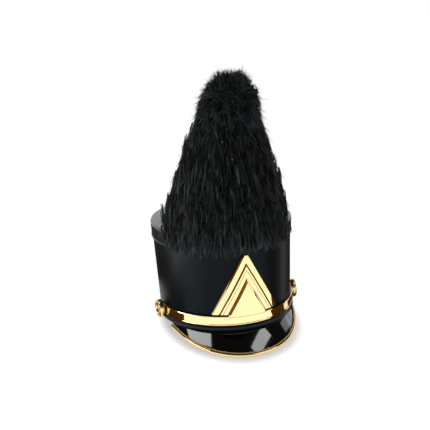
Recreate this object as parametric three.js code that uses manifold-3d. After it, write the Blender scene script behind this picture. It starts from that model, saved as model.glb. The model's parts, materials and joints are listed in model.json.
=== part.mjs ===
// A parade shako with a tall fur plume, at its real size in millimetres, +Z up, its front facing -Y.
// The hat is drawn upright with z = 0 at the bottom of its rim, then leant back until the edge
// of the peak and the back of the rim stand on the ground together, as a shako set down does.
import * as THREE from "three";
import { mergeVertices } from "three/addons/utils/BufferGeometryUtils.js";
import Module from "manifold-3d";

const wasm = await Module();
wasm.setup();

// Crown: an oval shell that widens upwards, and its lid
const baseHalfWidth = 87.5;
const baseHalfLength = 101.2;
const topHalfWidth = 92.2;
const topHalfLength = 110.9;
const topForward = 2.2;
const crownHeight = 129;
const wall = 2.5;
const lidThickness = 2.5;
const lidEdgeDepth = 4.5;
const lidSkirtDepth = 2;
const lidSkirtWall = 2;
const lidSkirtDraft = 0.8;
const shoulderRadius = 2.5;

// Bands round the crown
const topBandHeight = 21;
const topBandThickness = 1;
const topBandBead = 1.9;
const topBandBeadHeight = 1.8;
const topBandBeadFlat = 1.1;
const rimHeight = 8.5;
const rimDepth = 3.7;
const rimFold = 1.2;

// Peak and the metal trim on its edge
const peakEndAngle = 69;
const peakReach = 31;
const peakEndReach = 4;
const peakDrop = 24.8;
const peakEndDrop = 4.5;
const peakFullness = 1.6;
const peakThickness = 2;
const peakBulge = 0.6;
const peakBulgeForward = 0.3;
const trimWall = 0.9;
const trimTopArm = 4.5;
const trimUnderArm = 3.8;
const trimBeadRise = 0.7;
const trimBeadWidth = 1.8;

// Metal chin band across the front, and the two buttons that hold its ends
const chinBandCentre = 15.4;
const chinBandHeight = 12;
const chinBandDepth = 3.5;
const chinBandMetal = 0.9;
const chinBandRail = 1.7;
const chinBandRailSlope = 0.7;
const chinBandDish = 1;
const chinBandTail = 6;
const buttonAngle = 83.5;
const buttonDrop = 1;
const buttonRadius = 12.5;
const buttonThickness = 6;
const buttonRing = 3.4;
const buttonDishDepth = 3;
const shankRadius = 2.2;
const shankReachInside = 3;

// Emblem: nested raised triangles on the front
const emblemHalfWidth = 43.2;
const emblemTop = 102.8;
const emblemCapHalfWidth = 4.1;
const emblemFootRise = 2.4;
const emblemPlateDepth = 1.6;
const emblemFrameDepth = 3.2;
const emblemFrameWidth = 9.6;
const emblemGroove = 1.5;
const emblemInnerDepth = 4.1;
const emblemInnerWidth = 8.2;
const emblemCentreDepth = 7.6;
const emblemBevel = 1.6;
const emblemCentreBevel = 3;
const emblemToe = 0.8;
const emblemInnerCapHalfWidth = 0.4;
const emblemCentreCapHalfWidth = 0.8;

// Plume: a fur cone that stands on the front of the lid and hangs over the crown's front
const plumeHeight = 198;
const plumeHang = 19;
const plumeHalfWidth = 82.5;
const plumeFrontDepth = 83;
const plumeBackDepth = 56;
const plumeFootForward = 50;
const plumeTipForward = 75;
const plumeFootSide = -6.5;
const plumeTipSide = 4.5;
const lockWidth = 15;
const lockDepth = 5.5;
const lockLength = 40;
const lockLift = 5;
const tipSpreadAside = 18;
const tipSpreadForward = 16;
const stemRadius = 4;
const stemRise = 60;
const stemForward = 66;
const stemFlangeRadius = 12;
const stemFlangeThickness = 2;
const stemTailRadius = 3;
const stemTailReach = 1;

// Fits, and how far a cut runs past what it cuts
const gap = 0.3;
const looseGap = 0.5;
const cutMargin = 1;

// Fineness of the faceted forms
const roundSteps = 52;
const bandSteps = 36;
const peakSteps = 32;
const buttonSteps = 20;
const holeSteps = 12;
const emblemSteps = 16;
const plumeSteps = 24;
const roundCornerSteps = 2;
const rimTurns = 5;
const trimTurns = 4;
const peakSpans = 3;

const lidUnderside = crownHeight - lidEdgeDepth;
const chinBandTop = chinBandCentre + chinBandHeight / 2;
const buttonHeight = chinBandCentre - buttonDrop;
const buttonSeat = Math.max(gap + chinBandDepth, gap + rimDepth) + looseGap;
const peakSheetMiddle = -gap - peakThickness / 2;
const radians = THREE.MathUtils.degToRad;
const lerp = THREE.MathUtils.lerp;

const colours = {
  vinyl: { color: 0x14181c, roughness: 0.42, metalness: 0 },
  trimVinyl: { color: 0x101317, roughness: 0.35, metalness: 0 },
  patent: { color: 0x050608, roughness: 0.06, metalness: 0 },
  gold: { color: 0xe8bf6a, roughness: 0.12, metalness: 1 },
  fur: { color: 0x0b0d0e, roughness: 0.7, metalness: 0 },
  steel: { color: 0x8d8f92, roughness: 0.4, metalness: 1 },
};

// The crown's oval at a height: half width, half length and how far its centre lies forward
function ovalAt(z) {
  const share = z / crownHeight;
  return {
    halfWidth: lerp(baseHalfWidth, topHalfWidth, share),
    halfLength: lerp(baseHalfLength, topHalfLength, share),
    forward: topForward * share,
  };
}

// The crown's outward direction at an angle from the front, towards +X
function crownNormal(angle, z) {
  const oval = ovalAt(z);
  const x = Math.sin(angle) / oval.halfWidth;
  const y = -Math.cos(angle) / oval.halfLength;
  return new THREE.Vector3(x, y, 0).normalize();
}

// A point at an angle round the crown, moved out from its outer face by an offset
function crownPoint(angle, offset, z) {
  const oval = ovalAt(z);
  const x = oval.halfWidth * Math.sin(angle);
  const y = -oval.forward - oval.halfLength * Math.cos(angle);
  return new THREE.Vector3(x, y, z).addScaledVector(crownNormal(angle, z), offset);
}

// The angle at which the crown's outer face has a given x
function angleOfWidth(x, z) {
  return Math.asin(x / ovalAt(z).halfWidth);
}

// One closed surface through sections of equally many points: a ring when closed,
// and otherwise a length with both ends capped along the outline of caps
function loft(sections, closed, caps) {
  const count = sections[0].length;
  const corners = sections.flat();
  const faces = [];
  const spans = closed ? sections.length : sections.length - 1;
  for (let i = 0; i < spans; i++) {
    const here = i * count;
    const next = ((i + 1) % sections.length) * count;
    for (let j = 0; j < count; j++) {
      const k = (j + 1) % count;
      faces.push([here + j, next + j, next + k], [here + j, next + k, here + k]);
    }
  }
  if (!closed) {
    const last = (sections.length - 1) * count;
    const clockwise = THREE.ShapeUtils.isClockWise(caps);
    for (const cap of THREE.ShapeUtils.triangulateShape(caps, [])) {
      const sameTurn = THREE.ShapeUtils.isClockWise(cap.map((i) => caps[i])) === clockwise;
      const [a, b, c] = sameTurn ? cap : cap.reverse();
      faces.push([a, b, c], [last + c, last + b, last + a]);
    }
  }
  return facingOut(closedGeometry(corners, faces));
}

// A geometry of merged corners, without the faces that shrank to a line
function closedGeometry(corners, faces) {
  const geometry = new THREE.BufferGeometry().setFromPoints(corners);
  geometry.setIndex(faces.flat());
  const merged = mergeVertices(geometry, 1e-4);
  const index = merged.index.array;
  const kept = [];
  for (let i = 0; i < index.length; i += 3) {
    const [a, b, c] = [index[i], index[i + 1], index[i + 2]];
    if (a !== b && b !== c && c !== a) kept.push(a, b, c);
  }
  merged.setIndex(kept);
  return merged;
}

// The same surface, turned so that its faces point out of the solid
function facingOut(geometry) {
  const position = geometry.attributes.position;
  const index = geometry.index.array;
  const [a, b, c] = [new THREE.Vector3(), new THREE.Vector3(), new THREE.Vector3()];
  let volume = 0;
  for (let i = 0; i < index.length; i += 3) {
    a.fromBufferAttribute(position, index[i]);
    b.fromBufferAttribute(position, index[i + 1]);
    c.fromBufferAttribute(position, index[i + 2]);
    volume += a.dot(b.cross(c));
  }
  if (volume < 0) geometry.setIndex(Array.from(index).reverse());
  return geometry;
}

function solidOf(geometry) {
  const bare = geometry.clone();
  bare.deleteAttribute("normal");
  bare.deleteAttribute("uv");
  const merged = mergeVertices(bare, 1e-4);
  const vertProperties = new Float32Array(merged.attributes.position.array);
  const triVerts = new Uint32Array(merged.index.array);
  return new wasm.Manifold(new wasm.Mesh({ numProp: 3, vertProperties, triVerts }));
}

function geometryOf(solid) {
  const mesh = solid.getMesh();
  const geometry = new THREE.BufferGeometry();
  geometry.setAttribute("position", new THREE.BufferAttribute(mesh.vertProperties, 3));
  geometry.setIndex(new THREE.BufferAttribute(mesh.triVerts, 1));
  return geometry;
}

function piece(name, geometry, finish) {
  geometry.computeVertexNormals();
  const mesh = new THREE.Mesh(geometry, new THREE.MeshStandardMaterial(finish));
  mesh.name = name;
  return mesh;
}

// A profile of [offset, z] carried all the way round the crown
function aroundCrown(profile) {
  const sections = [];
  for (let i = 0; i < roundSteps; i++) {
    const angle = (i / roundSteps) * 2 * Math.PI;
    sections.push(profile.map(([offset, z]) => crownPoint(angle, offset, z)));
  }
  return loft(sections, true);
}

// A solid oval of the crown's form: an open profile of [offset, z], closed at the crown's middle
function ovalDisc(profile) {
  const [, topZ] = profile[0];
  const [, bottomZ] = profile[profile.length - 1];
  const sections = [];
  for (let i = 0; i < roundSteps; i++) {
    const angle = (i / roundSteps) * 2 * Math.PI;
    const rim = profile.map(([offset, z]) => crownPoint(angle, offset, z));
    const top = new THREE.Vector3(0, -ovalAt(topZ).forward, topZ);
    const bottom = new THREE.Vector3(0, -ovalAt(bottomZ).forward, bottomZ);
    sections.push([top, ...rim, bottom]);
  }
  return loft(sections, true);
}

// A round bar from one point to another
function bar(from, to, radius) {
  const along = to.clone().sub(from);
  const geometry = new THREE.CylinderGeometry(radius, radius, along.length(), holeSteps);
  const turn = new THREE.Quaternion();
  turn.setFromUnitVectors(new THREE.Vector3(0, 1, 0), along.clone().normalize());
  geometry.applyQuaternion(turn);
  const middle = from.clone().add(to).multiplyScalar(0.5);
  return geometry.translate(middle.x, middle.y, middle.z);
}

// The line through a button's middle, out from the crown: side is 1 towards +X and -1 towards -X
function buttonPoint(side, offset) {
  return crownPoint(side * radians(buttonAngle), offset, buttonHeight);
}

function buttonHole(side) {
  const inside = -wall - shankReachInside;
  return solidOf(bar(buttonPoint(side, inside), buttonPoint(side, buttonSeat), shankRadius + gap));
}

function makeCrownShell() {
  const bottom = rimFold + gap;
  const top = lidUnderside - gap;
  const shell = aroundCrown([
    [0, bottom],
    [0, top],
    [-wall, top],
    [-wall, bottom],
  ]);
  return geometryOf(solidOf(shell).subtract(buttonHole(1)).subtract(buttonHole(-1)));
}

// The stem's axis, at a height
function stemPoint(z) {
  return new THREE.Vector3(0, -stemForward, z);
}

// The lid: a flat plate with a rounded shoulder, and a skirt that sits inside the shell
function makeCrownTop() {
  const edge = gap + topBandThickness;
  const skirtFace = -wall - gap;
  const skirtEnd = lidUnderside - lidSkirtDepth;
  const profile = [];
  for (let i = 0; i <= roundCornerSteps; i++) {
    const turn = (i / roundCornerSteps) * (Math.PI / 2);
    const offset = edge - shoulderRadius * (1 - Math.sin(turn));
    profile.push([offset, crownHeight - shoulderRadius * (1 - Math.cos(turn))]);
  }
  profile.push(
    [edge, lidUnderside],
    [skirtFace, lidUnderside],
    [skirtFace, skirtEnd],
    [skirtFace - lidSkirtWall + lidSkirtDraft, skirtEnd],
    [skirtFace - lidSkirtWall, crownHeight - lidThickness],
  );
  const hole = bar(
    stemPoint(crownHeight - lidThickness - cutMargin),
    stemPoint(crownHeight + cutMargin),
    stemTailRadius + gap,
  );
  return geometryOf(solidOf(ovalDisc(profile)).subtract(solidOf(hole)));
}

// The band under the lid, with a raised bead along its lower edge
function makeTopBand() {
  const top = lidUnderside - gap;
  const bottom = crownHeight - topBandHeight;
  const face = gap + topBandThickness;
  return aroundCrown([
    [gap, bottom],
    [gap + topBandBead, bottom],
    [gap + topBandBead, bottom + topBandBeadFlat],
    [face, bottom + topBandBeadHeight],
    [face, top],
    [gap, top],
  ]);
}

// The rolled binding of the bottom edge: half round outside, folded under the shell
function makeRimBand() {
  const half = rimHeight / 2;
  const profile = [];
  for (let i = 0; i <= rimTurns; i++) {
    const turn = (i / rimTurns - 0.5) * Math.PI;
    profile.push([gap + rimDepth * Math.cos(turn), half + half * Math.sin(turn)]);
  }
  profile.push([gap, rimFold], [-wall, rimFold], [-wall, 0]);
  return aroundCrown(profile);
}

// The middle line of the peak's sheet, as [offset, z] from under the rim to the free edge
function peakLine(angle) {
  const share = Math.cos((Math.PI / 2) * (angle / radians(peakEndAngle)));
  const reach = lerp(peakEndReach, peakReach, Math.max(share, 0) ** peakFullness);
  const edge = crownPoint(angle, reach, 0).y;
  const endEdge = crownPoint(radians(peakEndAngle), peakEndReach, 0).y;
  const frontEdge = crownPoint(0, peakReach, 0).y;
  const forward = (edge - endEdge) / (frontEdge - endEdge);
  const drop = lerp(peakEndDrop, peakDrop, forward);
  const root = [looseGap, peakSheetMiddle];
  const line = [[-wall, peakSheetMiddle], root];
  for (let i = 1; i <= peakSpans; i++) {
    const t = i / peakSpans;
    const swell = 4 * t * (1 - t) * forward;
    const offset = lerp(root[0], reach, t) + peakBulgeForward * swell;
    line.push([offset, lerp(root[1], -drop, t) + peakBulge * swell]);
  }
  return line;
}

// The direction in which a line of [offset, z] points runs at one of them
function lineDirection(line, i) {
  const [x0, z0] = line[Math.max(i - 1, 0)];
  const [x1, z1] = line[Math.min(i + 1, line.length - 1)];
  const length = Math.hypot(x1 - x0, z1 - z0);
  return [(x1 - x0) / length, (z1 - z0) / length];
}

function peakAngles() {
  const angles = [];
  for (let i = 0; i <= peakSteps; i++) {
    angles.push(radians(lerp(-peakEndAngle, peakEndAngle, i / peakSteps)));
  }
  return angles;
}

// Sections of [offset, z] points along the peak, lofted from one end of it to the other
function alongPeak(sectionAt) {
  const outline = sectionAt(0).map(([offset, z]) => new THREE.Vector2(offset, z));
  const sections = peakAngles().map((angle) =>
    sectionAt(angle).map(([offset, z]) => crownPoint(angle, offset, z)),
  );
  return loft(sections, false, outline);
}

function makePeak() {
  return alongPeak((angle) => {
    const line = peakLine(angle);
    const half = peakThickness / 2;
    const upper = line.map(([x, z], i) => {
      const [dx, dz] = lineDirection(line, i);
      return [x - dz * half, z + dx * half];
    });
    const under = line.map(([x, z], i) => {
      const [dx, dz] = lineDirection(line, i);
      return [x + dz * half, z - dx * half];
    });
    return [...upper, ...under.reverse()];
  });
}

// The trim's section, with along pointing out of the sheet's edge and above out of its upper face
function trimSection() {
  const slot = peakThickness / 2 + gap;
  const outer = slot + trimWall;
  const nose = gap + trimWall - outer;
  const section = [
    [-trimTopArm, slot],
    [-trimTopArm, outer + trimBeadRise / 2],
    [-trimTopArm + trimBeadWidth / 2, outer + trimBeadRise],
    [-trimTopArm + trimBeadWidth, outer],
  ];
  for (let i = 0; i <= trimTurns; i++) {
    const turn = Math.PI * (0.5 - i / trimTurns);
    section.push([nose + outer * Math.cos(turn), outer * Math.sin(turn)]);
  }
  section.push([-trimUnderArm, -outer], [-trimUnderArm, -slot], [gap, -slot], [gap, slot]);
  return section;
}

function makePeakEdge() {
  const shape = trimSection();
  return alongPeak((angle) => {
    const line = peakLine(angle);
    const [x, z] = line[line.length - 1];
    const [dx, dz] = lineDirection(line, line.length - 1);
    return shape.map(([along, above]) => [
      x + dx * along - dz * above,
      z + dz * along + dx * above,
    ]);
  });
}

// The chin band: sheet metal with two raised rails and a dished middle, hollow behind
function makeChinBand() {
  const half = chinBandHeight / 2;
  const face = gap + chinBandDepth;
  const dish = face - chinBandDish;
  const outside = [
    [gap, -half],
    [face, -half],
    [face, -half + chinBandRail],
    [dish, -half + chinBandRail + chinBandRailSlope],
    [dish, half - chinBandRail - chinBandRailSlope],
    [face, half - chinBandRail],
    [face, half],
    [gap, half],
  ];
  const inside = [
    [gap, half - chinBandMetal],
    [dish - chinBandMetal, half - chinBandMetal],
    [dish - chinBandMetal, -half + chinBandMetal],
    [gap, -half + chinBandMetal],
  ];
  const section = [...outside, ...inside];
  const oval = ovalAt(chinBandCentre);
  const end = radians(buttonAngle) + chinBandTail / oval.halfLength;
  const sections = [];
  for (let i = 0; i <= bandSteps; i++) {
    const angle = lerp(-end, end, i / bandSteps);
    sections.push(section.map(([offset, z]) => crownPoint(angle, offset, chinBandCentre + z)));
  }
  const band = loft(
    sections,
    false,
    section.map(([offset, z]) => new THREE.Vector2(offset, z)),
  );
  return geometryOf(solidOf(band).subtract(buttonHole(1)).subtract(buttonHole(-1)));
}

// The ring's outline from its back to its crest, in shares of the button's radius and thickness,
// and the dish inside it, in shares of the dish's radius and depth
const ringOutline = [
  { radius: 0.94, height: 0 },
  { radius: 1, height: 0.3 },
  { radius: 0.97, height: 0.8 },
  { radius: 0.88, height: 1 },
];
const dishOutline = [
  { radius: 1, sink: 0.44 },
  { radius: 0.94, sink: 1 },
  { radius: 0.5, sink: 0.72 },
  { radius: 0, sink: 0.6 },
];

// A button: a raised ring round a domed middle, and the shank that passes through band and wall
function makeButton(side) {
  const shankEnd = gap - wall - shankReachInside;
  const face = buttonSeat + buttonThickness;
  const dishRadius = buttonRadius - buttonRing;
  const profile = [
    new THREE.Vector2(0, shankEnd),
    new THREE.Vector2(shankRadius, shankEnd),
    new THREE.Vector2(shankRadius, buttonSeat),
  ];
  for (const { radius, height } of ringOutline) {
    profile.push(new THREE.Vector2(buttonRadius * radius, buttonSeat + buttonThickness * height));
  }
  for (const { radius, sink } of dishOutline) {
    profile.push(new THREE.Vector2(dishRadius * radius, face - buttonDishDepth * sink));
  }
  const geometry = new THREE.LatheGeometry(profile, buttonSteps);
  const outward = crownNormal(side * radians(buttonAngle), buttonHeight);
  const turn = new THREE.Quaternion().setFromUnitVectors(new THREE.Vector3(0, 1, 0), outward);
  geometry.applyQuaternion(turn);
  const seat = buttonPoint(side, 0);
  return geometry.translate(seat.x, seat.y, seat.z);
}

// A triangular slab bent round the crown's front, from a low to a high offset.
// Its two upper edges slope in by the bevel, and its feet are as tall as the toe.
function bentTriangle({ halfWidth, foot, top, capHalfWidth, low, high, bevel }) {
  const slope = (top - foot) / (halfWidth - capHalfWidth);
  const lean = bevel * Math.hypot(1, slope);
  const innerHalfWidth = halfWidth - bevel;
  const widths = new Set([-halfWidth, halfWidth, -capHalfWidth, capHalfWidth, 0]);
  for (let i = 1; i < emblemSteps; i++) widths.add(lerp(-halfWidth, halfWidth, i / emblemSteps));
  const edgeAt = (x, drop) => {
    const edge = top - Math.max(Math.abs(x) - capHalfWidth, 0) * slope - drop;
    return Math.max(edge, foot + emblemToe);
  };
  const sections = [...widths]
    .sort((a, b) => a - b)
    .map((x) => {
      const face = THREE.MathUtils.clamp(x, -innerHalfWidth, innerHalfWidth);
      const upper = edgeAt(x, 0);
      const faceUpper = Math.min(edgeAt(face, lean), upper);
      return [
        crownPoint(angleOfWidth(x, foot), low, foot),
        crownPoint(angleOfWidth(face, foot), high, foot),
        crownPoint(angleOfWidth(face, faceUpper), high, faceUpper),
        crownPoint(angleOfWidth(x, upper), low, upper),
      ];
    });
  const square = [
    new THREE.Vector2(0, 0),
    new THREE.Vector2(1, 0),
    new THREE.Vector2(1, 1),
    new THREE.Vector2(0, 1),
  ];
  return solidOf(loft(sections, false, square));
}

// How far down the middle a triangle's top sits when its sides move in by a width
function insetTop(inset) {
  const slope = (emblemTop - chinBandTop) / emblemHalfWidth;
  return emblemTop + emblemCapHalfWidth * slope - inset * slope;
}

function makeEmblem() {
  const foot = chinBandTop + emblemFootRise;
  const frameInner = emblemHalfWidth - emblemFrameWidth;
  const innerOuter = frameInner - emblemGroove;
  const centreOuter = innerOuter - emblemInnerWidth;
  const plate = bentTriangle({
    halfWidth: emblemHalfWidth,
    foot,
    top: emblemTop,
    capHalfWidth: emblemCapHalfWidth,
    low: looseGap,
    high: looseGap + emblemFrameDepth,
    bevel: emblemBevel,
  });
  const recess = bentTriangle({
    halfWidth: frameInner,
    foot: foot - cutMargin,
    top: insetTop(emblemFrameWidth),
    capHalfWidth: emblemInnerCapHalfWidth,
    low: looseGap + emblemPlateDepth,
    high: looseGap + emblemFrameDepth + cutMargin,
    bevel: 0,
  });
  const inner = bentTriangle({
    halfWidth: innerOuter,
    foot,
    top: insetTop(emblemFrameWidth + emblemGroove),
    capHalfWidth: emblemInnerCapHalfWidth,
    low: looseGap + emblemPlateDepth / 2,
    high: looseGap + emblemInnerDepth,
    bevel: emblemBevel / 2,
  });
  const centre = bentTriangle({
    halfWidth: centreOuter,
    foot: chinBandTop + gap,
    top: insetTop(emblemFrameWidth + emblemGroove + emblemInnerWidth + emblemCentreBevel / 2),
    capHalfWidth: emblemCentreCapHalfWidth,
    low: looseGap + emblemPlateDepth / 2,
    high: looseGap + emblemCentreDepth,
    bevel: emblemCentreBevel,
  });
  return geometryOf(plate.subtract(recess).add(inner).add(centre));
}

// The plume's outline from its hanging edge to its tip. up is a share of the plume's height over
// the lid, or below it of the hang; wide, front and back are shares of the half width and depths
const plumeSections = [
  { up: -1, wide: 0.95, front: 0.935, back: 0.8 },
  { up: -0.5, wide: 0.98, front: 0.985, back: 0.9 },
  { up: 0, wide: 0.975, front: 1.0, back: 1.0 },
  { up: 0.07, wide: 0.94, front: 0.995, back: 0.99 },
  { up: 0.17, wide: 0.88, front: 0.95, back: 0.97 },
  { up: 0.27, wide: 0.81, front: 0.87, back: 0.93 },
  { up: 0.37, wide: 0.735, front: 0.78, back: 0.88 },
  { up: 0.47, wide: 0.665, front: 0.68, back: 0.82 },
  { up: 0.57, wide: 0.595, front: 0.6, back: 0.75 },
  { up: 0.67, wide: 0.52, front: 0.52, back: 0.67 },
  { up: 0.77, wide: 0.47, front: 0.46, back: 0.62 },
  { up: 0.86, wide: 0.395, front: 0.385, back: 0.54 },
  { up: 0.915, wide: 0.32, front: 0.31, back: 0.44 },
  { up: 0.955, wide: 0.23, front: 0.22, back: 0.32 },
  { up: 0.98, wide: 0.13, front: 0.13, back: 0.19 },
  { up: 0.99, wide: 0.03, front: 0.03, back: 0.05 },
];

function plumeRow(up) {
  const last = plumeSections.length - 1;
  let i = 0;
  while (i < last - 1 && plumeSections[i + 1].up < up) i++;
  const [a, b] = [plumeSections[i], plumeSections[i + 1]];
  const t = THREE.MathUtils.clamp((up - a.up) / (b.up - a.up), 0, 1);
  return {
    wide: plumeHalfWidth * lerp(a.wide, b.wide, t),
    front: plumeFrontDepth * lerp(a.front, b.front, t),
    back: plumeBackDepth * lerp(a.back, b.back, t),
  };
}

function plumeLevel(up) {
  return crownHeight + up * (up < 0 ? plumeHang : plumeHeight);
}

// The plume's middle, which leans forward and to one side on its way up
function plumeAxis(up) {
  const share = Math.max(up, 0);
  const x = lerp(plumeFootSide, plumeTipSide, share);
  return new THREE.Vector3(x, -lerp(plumeFootForward, plumeTipForward, share), plumeLevel(up));
}

// A point on the plume at an angle from its front, moved straight out by an offset
function plumePoint(angle, up, offset) {
  const row = plumeRow(up);
  const depth = Math.cos(angle) > 0 ? row.front : row.back;
  const across = row.wide * Math.sin(angle);
  const along = -depth * Math.cos(angle);
  const out = new THREE.Vector2(across, along).normalize();
  const axis = plumeAxis(up);
  return new THREE.Vector3(axis.x + across + out.x * offset, axis.y + along + out.y * offset, axis.z);
}

// The same point, moved off the crown where it would lie in it: up onto the lid, or out past the bands
function clearOfCrown(point, clearance) {
  const oval = ovalAt(Math.min(point.z, crownHeight));
  const angle = Math.atan2(point.x / oval.halfWidth, -(point.y + oval.forward) / oval.halfLength);
  const beside = crownPoint(angle, gap + topBandBead + clearance, point.z);
  const axis = new THREE.Vector2(0, -oval.forward);
  const reach = new THREE.Vector2(point.x, point.y).distanceTo(axis);
  if (reach > new THREE.Vector2(beside.x, beside.y).distanceTo(axis)) return point;
  if (point.z > crownHeight) {
    point.z = Math.max(point.z, crownHeight + clearance);
    return point;
  }
  return beside;
}

// The course of a lock from root to tip. along is a share of its length, lift of the lock lift,
// girth of its width and depth, and turn is how far round the plume its sway takes it, in degrees
const lockCourse = [
  { along: 0, lift: -0.33, girth: 0.35, turn: 0 },
  { along: 0.4, lift: 0.1, girth: 1, turn: 1.1 },
  { along: 0.75, lift: 0.5, girth: 0.85, turn: 2.3 },
  { along: 1, lift: 1, girth: 0.08, turn: 2.9 },
];

// One lock: a flat tapered strip that leaves the fur at its root and hangs or stands out at its tip
function lock(path, width, depth) {
  const sections = path.map((point, i) => {
    const { girth } = lockCourse[i];
    const before = path[Math.max(i - 1, 0)];
    const after = path[Math.min(i + 1, path.length - 1)];
    const along = after.clone().sub(before).normalize();
    const out = point.clone().sub(new THREE.Vector3(0, -plumeTipForward, point.z)).normalize();
    const side = new THREE.Vector3().crossVectors(along, out).normalize();
    const up = new THREE.Vector3().crossVectors(side, along).normalize();
    const w = (width / 2) * girth;
    const d = (depth / 2) * girth;
    return [
      point.clone().addScaledVector(side, w),
      point.clone().addScaledVector(up, d),
      point.clone().addScaledVector(side, -w),
      point.clone().addScaledVector(up, -d),
    ];
  });
  const diamond = [
    new THREE.Vector2(1, 0),
    new THREE.Vector2(0, 1),
    new THREE.Vector2(-1, 0),
    new THREE.Vector2(0, -1),
  ];
  return solidOf(loft(sections, false, diamond));
}

// Rings of hanging locks. up is the roots' height share, length and width are shares of the
// lock's, from and to limit a ring to angles from the front in degrees, and phase sets its sway
const lockRings = [
  { up: 0.1, count: 14, length: 0.95, width: 0.96, from: -86, to: 84, phase: 0 },
  { up: 0.31, count: 14, length: 1, width: 0.88, from: -180, to: 154, phase: 1.7 },
  { up: 0.52, count: 12, length: 1, width: 0.8, from: -170, to: 160, phase: 3.4 },
  { up: 0.72, count: 10, length: 0.95, width: 0.73, from: -180, to: 144, phase: 5.1 },
  { up: 0.88, count: 8, length: 0.8, width: 0.67, from: -165, to: 150, phase: 6.8 },
];

// How much a lock's sway adds to its place round the plume, in degrees, and to its length
const swayPerLock = 2.3;
const swayTurn = 4;
const swayLength = 0.12;

function hangingLocks() {
  const locks = [];
  for (const ring of lockRings) {
    for (let i = 0; i < ring.count; i++) {
      const sway = Math.sin(swayPerLock * i + ring.phase);
      const angle = lerp(ring.from, ring.to, i / (ring.count - 1)) + swayTurn * sway;
      const length = (lockLength * ring.length * (1 + swayLength * sway)) / plumeHeight;
      const path = lockCourse.map(({ along, lift, turn }) => {
        const up = ring.up - length * along;
        const level = up < 0 ? (up * plumeHeight) / plumeHang : up;
        const point = plumePoint(radians(angle + turn * sway), level, lift * lockLift);
        return clearOfCrown(point, lockDepth / 2);
      });
      locks.push(lock(path, lockWidth * ring.width, lockDepth * ring.width));
    }
  }
  return locks;
}

// Locks that stand up and out at the tip. root and rise are the height shares of their two ends,
// inward is how far in towards the plume's middle they are rooted, and width is a lock's share
const tipLocks = { count: 8, root: 0.9, rise: 0.99, riseSway: 0.02, inward: 0.65, width: 0.7 };

function standingLocks() {
  const locks = [];
  const axis = plumeAxis(tipLocks.root);
  for (let i = 0; i < tipLocks.count; i++) {
    const angle = (i / tipLocks.count) * 2 * Math.PI;
    const sway = Math.sin(swayPerLock * i);
    const root = plumePoint(angle, tipLocks.root, 0).lerp(axis, tipLocks.inward);
    const tip = new THREE.Vector3(
      axis.x + tipSpreadAside * Math.sin(angle),
      axis.y - tipSpreadForward * Math.cos(angle),
      plumeLevel(tipLocks.rise + tipLocks.riseSway * sway),
    );
    const path = lockCourse.map(({ along }) => root.clone().lerp(tip, along));
    locks.push(lock(path, lockWidth * tipLocks.width, lockDepth));
  }
  return locks;
}

function plumeCore() {
  const corners = plumeSections.map(({ up }) => {
    const ring = [];
    for (let j = 0; j < plumeSteps; j++) ring.push(plumePoint((j / plumeSteps) * 2 * Math.PI, up, 0));
    return ring;
  });
  const outline = corners[0].map((point) => new THREE.Vector2(point.x, point.y));
  return solidOf(loft(corners, false, outline));
}

// The crown as the fur meets it: every band included, and a small clearance
function crownEnvelope() {
  const offset = gap + topBandBead + gap;
  return solidOf(
    ovalDisc([
      [offset, crownHeight + gap],
      [offset, 0],
    ]),
  );
}

function stemSolid(clearance) {
  const foot = crownHeight + gap;
  const flangeTop = foot + stemFlangeThickness + clearance;
  const start = clearance > 0 ? foot - cutMargin : foot;
  const flange = bar(stemPoint(start), stemPoint(flangeTop), stemFlangeRadius + clearance);
  const post = bar(stemPoint(start), stemPoint(foot + stemRise + clearance), stemRadius + clearance);
  return solidOf(flange).add(solidOf(post));
}

function makePlume() {
  let fur = plumeCore();
  for (const strand of [...hangingLocks(), ...standingLocks()]) fur = fur.add(strand);
  return geometryOf(fur.subtract(crownEnvelope()).subtract(stemSolid(gap)));
}

// The hidden post that carries the plume: a flange on the lid and a tail through it
function makePlumeStem() {
  const tail = bar(
    stemPoint(crownHeight - lidThickness - stemTailReach),
    stemPoint(crownHeight + gap + cutMargin),
    stemTailRadius,
  );
  return geometryOf(stemSolid(0).add(solidOf(tail)));
}

// How far the hat leans back, from the two round edges that it stands on
function restTilt() {
  const shape = trimSection();
  const frontRadius = peakThickness / 2 + gap + trimWall;
  const line = peakLine(0);
  const [dx, dz] = lineDirection(line, line.length - 1);
  const [edgeOffset, edgeZ] = line[line.length - 1];
  const nose = Math.max(...shape.map(([along]) => along)) - frontRadius;
  const front = crownPoint(0, edgeOffset + dx * nose, 0).y;
  const back = crownPoint(Math.PI, gap, 0).y;
  const rise = rimHeight / 2 - (edgeZ + dz * nose);
  const run = back - front;
  const backRadius = rimHeight / 2;
  const spread = Math.hypot(rise, run);
  return Math.atan2(rise, run) - Math.asin((backRadius - frontRadius) / spread);
}

const hat = new THREE.Group();
hat.add(
  piece("crown_shell", makeCrownShell(), colours.vinyl),
  piece("crown_top", makeCrownTop(), colours.vinyl),
  piece("top_band", makeTopBand(), colours.trimVinyl),
  piece("rim_band", makeRimBand(), colours.trimVinyl),
  piece("peak", makePeak(), colours.patent),
  piece("peak_edge", makePeakEdge(), colours.gold),
  piece("chin_band", makeChinBand(), colours.gold),
  piece("button_left", makeButton(1), colours.gold),
  piece("button_right", makeButton(-1), colours.gold),
  piece("emblem", makeEmblem(), colours.gold),
  piece("plume", makePlume(), colours.fur),
  piece("plume_stem", makePlumeStem(), colours.steel),
);
hat.rotation.x = -restTilt();

// The origin lies under the middle of the whole hat, on the ground
const group = new THREE.Group();
group.add(hat);
const box = new THREE.Box3().setFromObject(group, true);
const middle = box.getCenter(new THREE.Vector3());
hat.position.set(-middle.x, -middle.y, -box.min.z);

export default group;
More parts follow.
